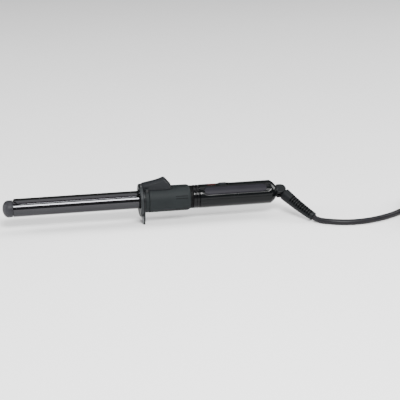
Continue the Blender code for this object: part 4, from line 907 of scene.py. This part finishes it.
def leverSection(x, bottom, sideTop, crown, halfWidth):  # side wall, shoulder and crown
    made = [(-halfWidth, bottom), (-halfWidth, bottom + 0.5 * (sideTop - bottom))]
    steps = 20
    for step in range(steps + 1):
        share = -1 + 2 * step / steps
        y = halfWidth * math.copysign(abs(share) ** 0.85, share)
        z = sideTop + (crown - sideTop) * (1 - abs(share) ** 2.6)
        made.append((y, z))
    made += [(halfWidth, bottom + 0.5 * (sideTop - bottom)), (halfWidth, bottom)]
    return [Vector((x, y, axisHeight + z)) for y, z in made]


def makeLever(values):
    low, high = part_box("thumb_lever")
    bottom = low.z - axisHeight
    peak = high.z - axisHeight
    start, end = low.x, high.x
    length = end - start
    rear = bottom + 1.1 * mm
    half = values["halfWidth"]
    stations = [
        (start, bottom + 0.6 * mm, peak - 9.0 * mm, peak - 8.0 * mm, half - 0.7 * mm),
        (start + 0.5 * mm, bottom, peak - 8.0 * mm, peak - 7.0 * mm, half - 0.5 * mm),
        (start + 2.0 * mm, bottom, peak - 7.4 * mm, peak - 6.2 * mm, half - 0.5 * mm),
        (start + 2.8 * mm, bottom, peak - 7.2 * mm, peak - 5.9 * mm, half),
        (start + 0.24 * length, bottom, peak - 6.4 * mm, peak - 4.7 * mm, half),
        (start + 0.41 * length, bottom, peak - 5.5 * mm, peak - 3.5 * mm, half),
        (start + 0.579 * length, bottom, peak - 4.25 * mm, peak - 2.05 * mm, half),
        (start + 0.584 * length, rear, peak - 4.2 * mm, peak - 2.0 * mm, half),
        (start + 0.68 * length, rear, peak - 3.1 * mm, peak - 0.75 * mm, half),
        (start + 0.715 * length, rear, peak - 2.5 * mm, peak - 0.15 * mm, half),
        (start + 0.734 * length, rear, peak - 2.4 * mm, peak, half),
        (start + 0.752 * length, rear, peak - 2.8 * mm, peak - 0.3 * mm, half),
        (start + 0.79 * length, rear, peak - 3.9 * mm, peak - 1.6 * mm, half),
        (end - 3.2 * mm, rear, peak - 7.7 * mm, peak - 6.1 * mm, half),
        (end - 1.9 * mm, rear, peak - 9.2 * mm, peak - 7.8 * mm, half),
        (end - 1.0 * mm, rear, peak - 10.4 * mm, peak - 9.1 * mm, half - 0.1 * mm),
        (end - 0.4 * mm, rear, peak - 11.3 * mm, peak - 10.2 * mm, half - 0.35 * mm),
        (end - 0.1 * mm, rear, peak - 12.1 * mm, peak - 11.2 * mm, half - 0.75 * mm),
        (end, rear + 0.2 * mm, peak - 12.5 * mm, peak - 11.7 * mm, half - 1.1 * mm),
    ]
    rows = [leverSection(*station) for station in stations]
    lever = skin("thumbLever", rows, finishes["lever"], smoothAngle=32.0)
    hole = drill(9 * mm, values["pinHole"], finishes["lever"], placeAlong(leverPin, (0, 1, 0)))
    reach = half - values["wall"]
    pocket = softBox("pocket", (values["pocketStart"], -reach, low.z - mm),
                     (end - 3.0 * mm, reach, high.z - values["roof"]), finishes["lever"], 0.0)
    carve(lever, hole, pocket)
    bevelled(lever, 0.35 * mm, 2, 50.0)
    claim(lever, "clip_unit", "guard_plastic", "thumb_lever")
    slopeStart = Vector((start + 0.785 * length, 0, high.z - 1.4 * mm))
    slopeEnd = Vector((end - 1.5 * mm, 0, high.z - 8.35 * mm))
    down = slopeEnd - slopeStart
    place = placeAlong(slopeStart, down, Vector((1, 0, 0)))
    ribs = softBox("leverRibs", (-0.35 * mm, -half * 0.78, -0.5 * mm),
                   (0.35 * mm, half * 0.78, values["ribHeight"]), finishes["lever"], 0.25 * mm, place)
    repeated(ribs, values["ribs"], finishes["lever"], tuple(down / (values["ribs"] - 1)))
    claim(ribs, "clip_unit", "guard_plastic")


makeGuard(guardValues)
makeFoot(footValues)
makeCollar(collarValues)
makeSleeve(sleeveValues)
makeLever(leverValues)
print("guard, foot, sleeve and lever are made")


handleValues = {"radius": 13.45 * mm, "wall": 1.8 * mm, "dome": 7.2 * mm, "domeSquareness": 1.3,
                "mouth": 7.2 * mm, "panelMiddle": 45.5, "panelHalf": 21.5, "panelSetback": 4.9 * mm,
                "panelLength": 77.0 * mm, "panelCorner": 4.4 * mm, "recessDepth": 0.95 * mm,
                "chamfer": 0.17 * mm, "chamferWidth": 0.95 * mm, "panelSink": 0.15 * mm, "pocket": 4.4 * mm,
                "panelThickness": 0.5 * mm, "switchTravel": 3.0 * mm, "knobHalf": 2.6 * mm,
                "windowHalf": 3.1 * mm, "screwHole": 2.6 * mm, "ridges": 5, "ridgePitch": 1.45 * mm}


def recessDistance(x, arc, start, values, radius):  # negative inside the recess
    halfLength = values["panelLength"] / 2
    halfArc = math.radians(values["panelHalf"]) * radius
    corner = values["panelCorner"]
    dx = abs(x - start - halfLength) - halfLength + corner
    dy = abs(abs(arc) - math.radians(values["panelMiddle"]) * radius) - halfArc + corner
    outside = math.hypot(max(dx, 0.0), max(dy, 0.0))
    return outside + min(max(dx, dy), 0.0) - corner


def makeShell(name, node, firstAngle, lastAngle, values):
    low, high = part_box(node)
    radius = values["radius"]
    inner = radius - values["wall"]
    mouth = values["mouth"]
    domeStart = high.x - values["dome"]
    panelStart = low.x + values["panelSetback"]
    panelEnd = panelStart + values["panelLength"]
    xs = []
    x = low.x + 0.5 * mm
    while x < domeStart:
        xs.append(x)
        nearEnds = min(abs(x - panelStart - 2.5 * mm), abs(x - panelEnd + 2.5 * mm)) < 3.6 * mm
        x += (0.25 if nearEnds else 1.0) * mm
    profile = [(low.x, radius - 0.35 * mm), (low.x + 0.15 * mm, radius - 0.1 * mm)]
    profile += [(x, radius) for x in xs]
    domeSteps = 18
    for k in range(domeSteps + 1):
        turn = math.pi / 2 * k / domeSteps
        bend = 2 / values["domeSquareness"]
        profile.append((domeStart + values["dome"] * math.sin(turn) ** bend,
                        mouth + (radius - mouth) * max(math.cos(turn), 0.0) ** bend))
    angles = []
    angle = firstAngle
    while angle < lastAngle - 0.4:
        angles.append(math.radians(angle))
        around = abs(angle if angle <= 180 else angle - 360)
        angle += 0.8 if abs(around - values["panelMiddle"]) < values["panelHalf"] + 5.0 else 2.5
    angles.append(math.radians(lastAngle))
    rows = []
    for x, r in profile:
        ring = []
        for angle in angles:
            arc = (angle if angle <= math.pi else angle - 2 * math.pi) * radius
            distance = recessDistance(x, arc, panelStart, values, radius)
            sink = min(1.0, max(0.0, -distance / (0.3 * mm))) * values["recessDepth"]
            slope = values["chamfer"] * min(1.0, max(0.0, 1 - distance / values["chamferWidth"]))
            ring.append(barrelPoint(x, r - max(sink, slope), angle))
        rows.append(ring)
    inside = [(high.x - 0.05 * mm, 6.35 * mm), (high.x - 1.6 * mm, 6.35 * mm), (high.x - 1.7 * mm, 9.0 * mm),
              (domeStart, inner), (low.x + 2.0 * mm, inner), (low.x + 1.9 * mm, 7.4 * mm),
              (low.x + 0.05 * mm, 7.4 * mm)]
    for x, r in inside:
        rows.append([barrelPoint(x, r, angle) for angle in angles])
    work = bmesh.new()
    grid = [[work.verts.new(point) for point in row] for row in rows]
    count = len(angles)
    for near, far in list(zip(grid, grid[1:])) + [(grid[-1], grid[0])]:
        for step in range(count - 1):
            work.faces.new((near[step], near[step + 1], far[step + 1], far[step]))
    work.faces.new([row[0] for row in grid])
    work.faces.new([row[-1] for row in reversed(grid)])
    bmesh.ops.recalc_face_normals(work, faces=work.faces)
    mesh = bpy.data.meshes.new(name)
    work.to_mesh(mesh)
    work.free()
    return makeObject(name, mesh, finishes["gloss"], 30.0)


def stadium(halfLength, halfWidth, centreX, zLow, zHigh, name, finish, steps=12):
    outline = []
    for side in (1, -1):
        for k in range(steps + 1):
            turn = math.pi * k / steps - math.pi / 2
            outline.append((centreX + side * ((halfLength - halfWidth) + halfWidth * math.cos(turn)),
                            side * halfWidth * math.sin(turn)))
    return skin(name, [[Vector((x, y, z)) for x, y in outline] for z in (zLow, zHigh)], finish)


def makeRim(name, halfLength, halfWidth, centreX, radius, thick, finish):  # a bead round an opening
    rows = []
    steps = 72
    for k in range(steps):
        turn = 2 * math.pi * k / steps
        straight = halfLength - halfWidth
        shift = math.copysign(straight, math.cos(turn)) if abs(math.cos(turn)) > 0.02 else 0.0
        x = centreX + shift + halfWidth * math.cos(turn)
        y = halfWidth * math.sin(turn)
        out = Vector((math.cos(turn), math.sin(turn), 0))
        up = Vector((0, y / radius, math.sqrt(max(0.0, 1 - (y / radius) ** 2))))
        centre = Vector((x, y, axisHeight + math.sqrt(radius ** 2 - y ** 2)))
        rows.append([centre + out * thick * math.cos(a) + up * thick * 0.8 * math.sin(a)
                     for a in [2 * math.pi * j / 10 for j in range(10)]])
    return skin(name, rows, finish, wrap=True)


def makePanel(name, node, side, values):
    low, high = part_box(node)
    radius = values["radius"] - values["panelSink"]
    thick = values["panelThickness"]
    start = low.x + 0.1 * mm
    end = high.x - values["pocket"]
    half = values["panelHalf"] - 1.2
    nose = values["panelCorner"]
    stations = []
    for k in range(10):
        turn = math.pi / 2 * (0.12 + 0.88 * k / 9)
        stations.append((nose * (1 - math.cos(turn)), math.sin(turn)))
    shift = stations[0][0]
    cornerArc = math.degrees(nose / radius)
    full = [(start + x - shift, half - cornerArc * (1 - s)) for x, s in stations]
    full += [(start + nose + (end - start - 2 * nose) * k / 40, half) for k in range(1, 40)]
    full += [(end - x + shift, half - cornerArc * (1 - s)) for x, s in reversed(stations)]
    rows = []
    middle = side * values["panelMiddle"]
    steps = 28
    for x, reach in full:
        angles = [math.radians(middle - reach + 2 * reach * k / steps) for k in range(steps + 1)]
        outside = []
        for k, angle in enumerate(angles):
            edge = min(k, steps - k) / steps
            outside.append(barrelPoint(x, radius - 0.12 * mm * max(0.0, 1 - edge * 9), angle))
        rows.append(outside + [barrelPoint(x, radius - thick, angle) for angle in reversed(angles)])
    panel = skin(name, rows, finishes["satin"])
    bevelled(panel, 0.12 * mm, 2, 50.0)
    claim(panel, "handle", "panel_satin", node)


def makeHandle(values):
    radius = values["radius"]
    travel = values["switchTravel"]
    upper = makeShell("shellUpper", "handle_upper", -89.4, 89.4, values)
    lower = makeShell("shellLower", "handle_lower", 90.6, 269.4, values)
    lensLow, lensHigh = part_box("indicator_lens")
    lensMiddle = (lensLow.x + lensHigh.x) / 2
    lensHalf = (lensHigh.x - lensLow.x) / 2
    lensWide = (lensHigh.y - lensLow.y) / 2
    switchLow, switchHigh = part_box("power_switch")
    knobStart = switchLow.x + 1.6 * mm
    knobEnd = switchHigh.x - 1.6 * mm
    windowMiddle = (knobStart + knobEnd + travel) / 2
    windowHalf = (knobEnd + travel - knobStart) / 2 + 0.5 * mm
    low, high = axisHeight + 6 * mm, axisHeight + radius + 2 * mm
    lensHole = stadium(lensHalf + 0.25 * mm, lensWide + 0.25 * mm, lensMiddle, low, high, "lensHole",
                       finishes["gloss"])
    window = softBox("window", (windowMiddle - windowHalf, -values["windowHalf"], low),
                     (windowMiddle + windowHalf, values["windowHalf"], high), finishes["gloss"], 0.0)
    carve(upper, lensHole, window)
    claim(upper, "handle", "handle_gloss", "handle_upper")
    screwLow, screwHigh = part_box("handle_screw")
    screwX = (screwLow.x + screwHigh.x) / 2
    down = placeAlong(Vector((screwX, 0, axisHeight)), (0, 0, -1), Vector((1, 0, 0)))
    bore = values["screwHole"]
    carve(lower, turned("screwHole", [(9 * mm, 0), (9 * mm, bore), (16 * mm, bore), (16 * mm, 0)],
                        finishes["gloss"], 40, False, down))
    claim(lower, "handle", "handle_gloss", "handle_lower")
    top = axisHeight + radius
    lens = stadium(lensHalf, lensWide, lensMiddle, top - 1.6 * mm, top + 0.02 * mm, "lensRed",
                   finishes["lens"], 16)
    bevelled(lens, 0.3 * mm, 3, 50.0)
    claim(lens, "handle", "lens_red", "indicator_lens")
    rim = makeRim("switchRim", windowHalf + 1.3 * mm, values["windowHalf"] + 0.8 * mm, windowMiddle,
                  radius - 0.1 * mm, 0.4 * mm, finishes["gloss"])
    claim(rim, "handle", "handle_gloss")
    knob = softBox("switchKnob", (knobStart, -values["knobHalf"], axisHeight + 10.2 * mm),
                   (knobEnd, values["knobHalf"], switchHigh.z), finishes["lever"], 0.4 * mm)
    claim(knob, "switch_knob", "guard_plastic", "power_switch")
    skirt = softBox("switchSkirt", switchLow, (switchHigh.x, switchHigh.y, switchLow.z + 0.8 * mm),
                    finishes["lever"], 0.15 * mm)
    claim(skirt, "switch_knob", "guard_plastic")
    grips = softBox("knobRidges", (knobStart + 0.9 * mm, -2.3 * mm, switchHigh.z - 0.4 * mm),
                    (knobStart + 1.5 * mm, 2.3 * mm, switchHigh.z - 0.02 * mm), finishes["lever"], 0.15 * mm)
    repeated(grips, values["ridges"], finishes["lever"], (values["ridgePitch"], 0, 0))
    claim(grips, "switch_knob", "guard_plastic")
    for name, node, side in (("panelNear", "side_panel_near", 1), ("panelFar", "side_panel_far", -1)):
        makePanel(name, node, side, values)


def makeNeckRing():
    low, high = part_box("neck_ring")
    radius = (high.y - low.y) / 2
    deep = radius - 0.9 * mm
    mid = (low.x + high.x) / 2
    corners = [(low.x, 7.4 * mm), (low.x, radius - 0.2 * mm, 0.5 * mm)]
    for start, end in ((low.x + 0.5 * mm, mid - 0.4 * mm), (mid + 0.4 * mm, high.x - 0.75 * mm)):
        corners += [(start, radius, 0.4 * mm), (end, radius, 0.4 * mm), (end + 0.2 * mm, deep, 0.1 * mm),
                    (end + 0.6 * mm, deep, 0.1 * mm)]
    corners += [(high.x, radius - 0.3 * mm, 0.15 * mm), (high.x, 7.4 * mm)]
    claim(turned("neckRing", corners, finishes["ring"], 128), "handle", "handle_gloss", "neck_ring")


makeHandle(handleValues)
makeNeckRing()
print("handle is made")


def makeSwivel(values):
    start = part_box("swivel_neck")[0].x
    collarEnd = start + 1.8 * mm
    outside = pivot.x - values["setback"]
    bore, flange, tube, lip = values["bore"], values["flange"], values["neck"], values["lip"]
    neck = turned("swivelNeck", [(start, bore), (start, flange, 0.3 * mm), (collarEnd, flange, 0.3 * mm),
                                 (collarEnd, tube), (outside, tube), (outside, lip, 0.5 * mm),
                                 (outside + 1.6 * mm, lip, 0.6 * mm), (outside + 1.6 * mm, bore)],
                  finishes["relief"], 96)
    place = placeAlong(pivot, (1, 0, 0), -lean)
    radius, thick = values["knuckle"], values["knuckleThickness"]
    back = outside + 0.8 * mm - pivot.x
    turns = [math.pi * k / 40 - math.pi / 2 for k in range(41)]
    outline = [(back, -radius)] + [(radius * math.cos(turn), radius * math.sin(turn)) for turn in turns]
    outline.append((back, radius))
    rows = [[place @ Vector((a, y, b)) for a, b in outline] for y in (-thick, thick)]
    knuckle = skin("swivelKnuckle", rows, finishes["relief"])
    bevelled(knuckle, 1.0 * mm, 4, 60.0)
    half, reach = values["forkHalf"], values["forkReach"]
    slot, backSlot = [softBox(name, (-values["forkFront"], -half, -reach), (reach, half, reach),
                              finishes["relief"], 0.0, place) for name in ("forkSlot", "backSlot")]
    hole = drill(thick - 1.0 * mm, values["pinHole"], finishes["relief"], placeAlong(pivot, pinDirection))
    carve(knuckle, slot, hole)
    carve(neck, backSlot)
    bevelled(knuckle, 0.2 * mm, 2, 60.0)
    claim(neck, "swivel", "guard_plastic", "swivel_neck")
    claim(knuckle, "swivel", "guard_plastic")


def makeRelief(values):
    across = pinDirection
    aside = reliefDirection.cross(across).normalized()
    viewSide = -1 if aside.x < 0 else 1
    steps = 240
    sides = 72
    rows = []
    grooves = []
    start, end = values["start"], values["length"]
    rounding = values["endRounding"]
    for step in range(steps + 1):
        share = step / steps
        along = start + (end - start) * share
        bow = values["bow"] * 4 * share * (1 - share)
        centre = pivot + reliefDirection * along - aside * viewSide * bow
        radius = values["startRadius"] + (values["endRadius"] - values["startRadius"]) * share
        nearEnd = min(along - start, end - along)
        if nearEnd < rounding:
            radius -= rounding * (1 - math.sqrt(max(0.0, 1 - (1 - nearEnd / rounding) ** 2)))
        slotPhase = (along - values["firstSlot"]) / values["pitch"]
        inSlots = -0.5 < slotPhase < values["slots"] - 0.5
        offset = abs(slotPhase - round(slotPhase)) * values["pitch"]
        depth = 0.0
        if inSlots:
            edge = (values["slotWidth"] / 2 - offset) / (0.25 * mm)
            depth = values["slotDepth"] * min(1.0, max(0.0, edge))
        ring = []
        for side in range(sides):
            turn = 2 * math.pi * side / sides
            facing = abs(math.cos(turn))  # 1 where the pin points, 0 on the rails
            cut = min(1.0, max(0.0, (facing - 0.42) / 0.12))
            ring.append(centre + (across * math.cos(turn) + aside * math.sin(turn)) * (radius - depth * cut))
            grooves.append(depth * cut / values["slotDepth"])
        rows.append(ring)
    relief = skin("strainRelief", rows, finishes["relief"], smoothAngle=40.0)
    # painted shade: the groove attribute tells the material how far to darken each point deep in the slots
    mark = relief.data.attributes.new("groove", "FLOAT", "POINT")
    for index, amount in enumerate(grooves):
        mark.data[index].value = amount
    claim(relief, "lead", "relief_rubber", "strain_relief")
    hole, eyeRadius = swivelValues["pinHole"], values["eyeRadius"]
    eye = turned("reliefEye", [(-2.0 * mm, hole), (-2.0 * mm, eyeRadius, 0.4 * mm),
                               (2.0 * mm, eyeRadius, 0.4 * mm), (2.0 * mm, hole)],
                 finishes["relief"], 64, True, placeAlong(pivot, across))
    claim(eye, "lead", "relief_rubber")
    place = placeAlong(pivot, reliefDirection, across)
    web = softBox("reliefWeb", (3.4 * mm, -3.5 * mm, -1.95 * mm), (start + 1.5 * mm, 3.5 * mm, 1.95 * mm),
                  finishes["relief"], 0.3 * mm, place)
    claim(web, "lead", "relief_rubber")


makeSwivel(swivelValues)
makeRelief(reliefValues)
print("swivel and strain relief are made")


nodeFinishes = {  # for the CAD nodes that stay
    "heater_plate": "ceramic", "heat_spreader_upper": "aluminium", "heat_spreader_lower": "aluminium",
    "barrel_holder": "tip", "lever_pin": "blackened", "lever_spring": "steel", "turning_bush": "bearing",
    "bush_screw": "blackened", "clip_rivet_front": "steel", "clip_rivet_rear": "steel", "spindle": "bearing",
    "spindle_clip": "steel", "handle_screw": "blackened", "indicator_led": "lens", "circuit_board": "board",
    "switch_housing": "tip", "relief_pin": "blackened",
}
for node, finish in nodeFinishes.items():
    holder = frame["nodes"][node]
    holder.data.materials.clear()
    holder.data.materials.append(finishes[finish])
print("inner pieces have their finishes")

import json
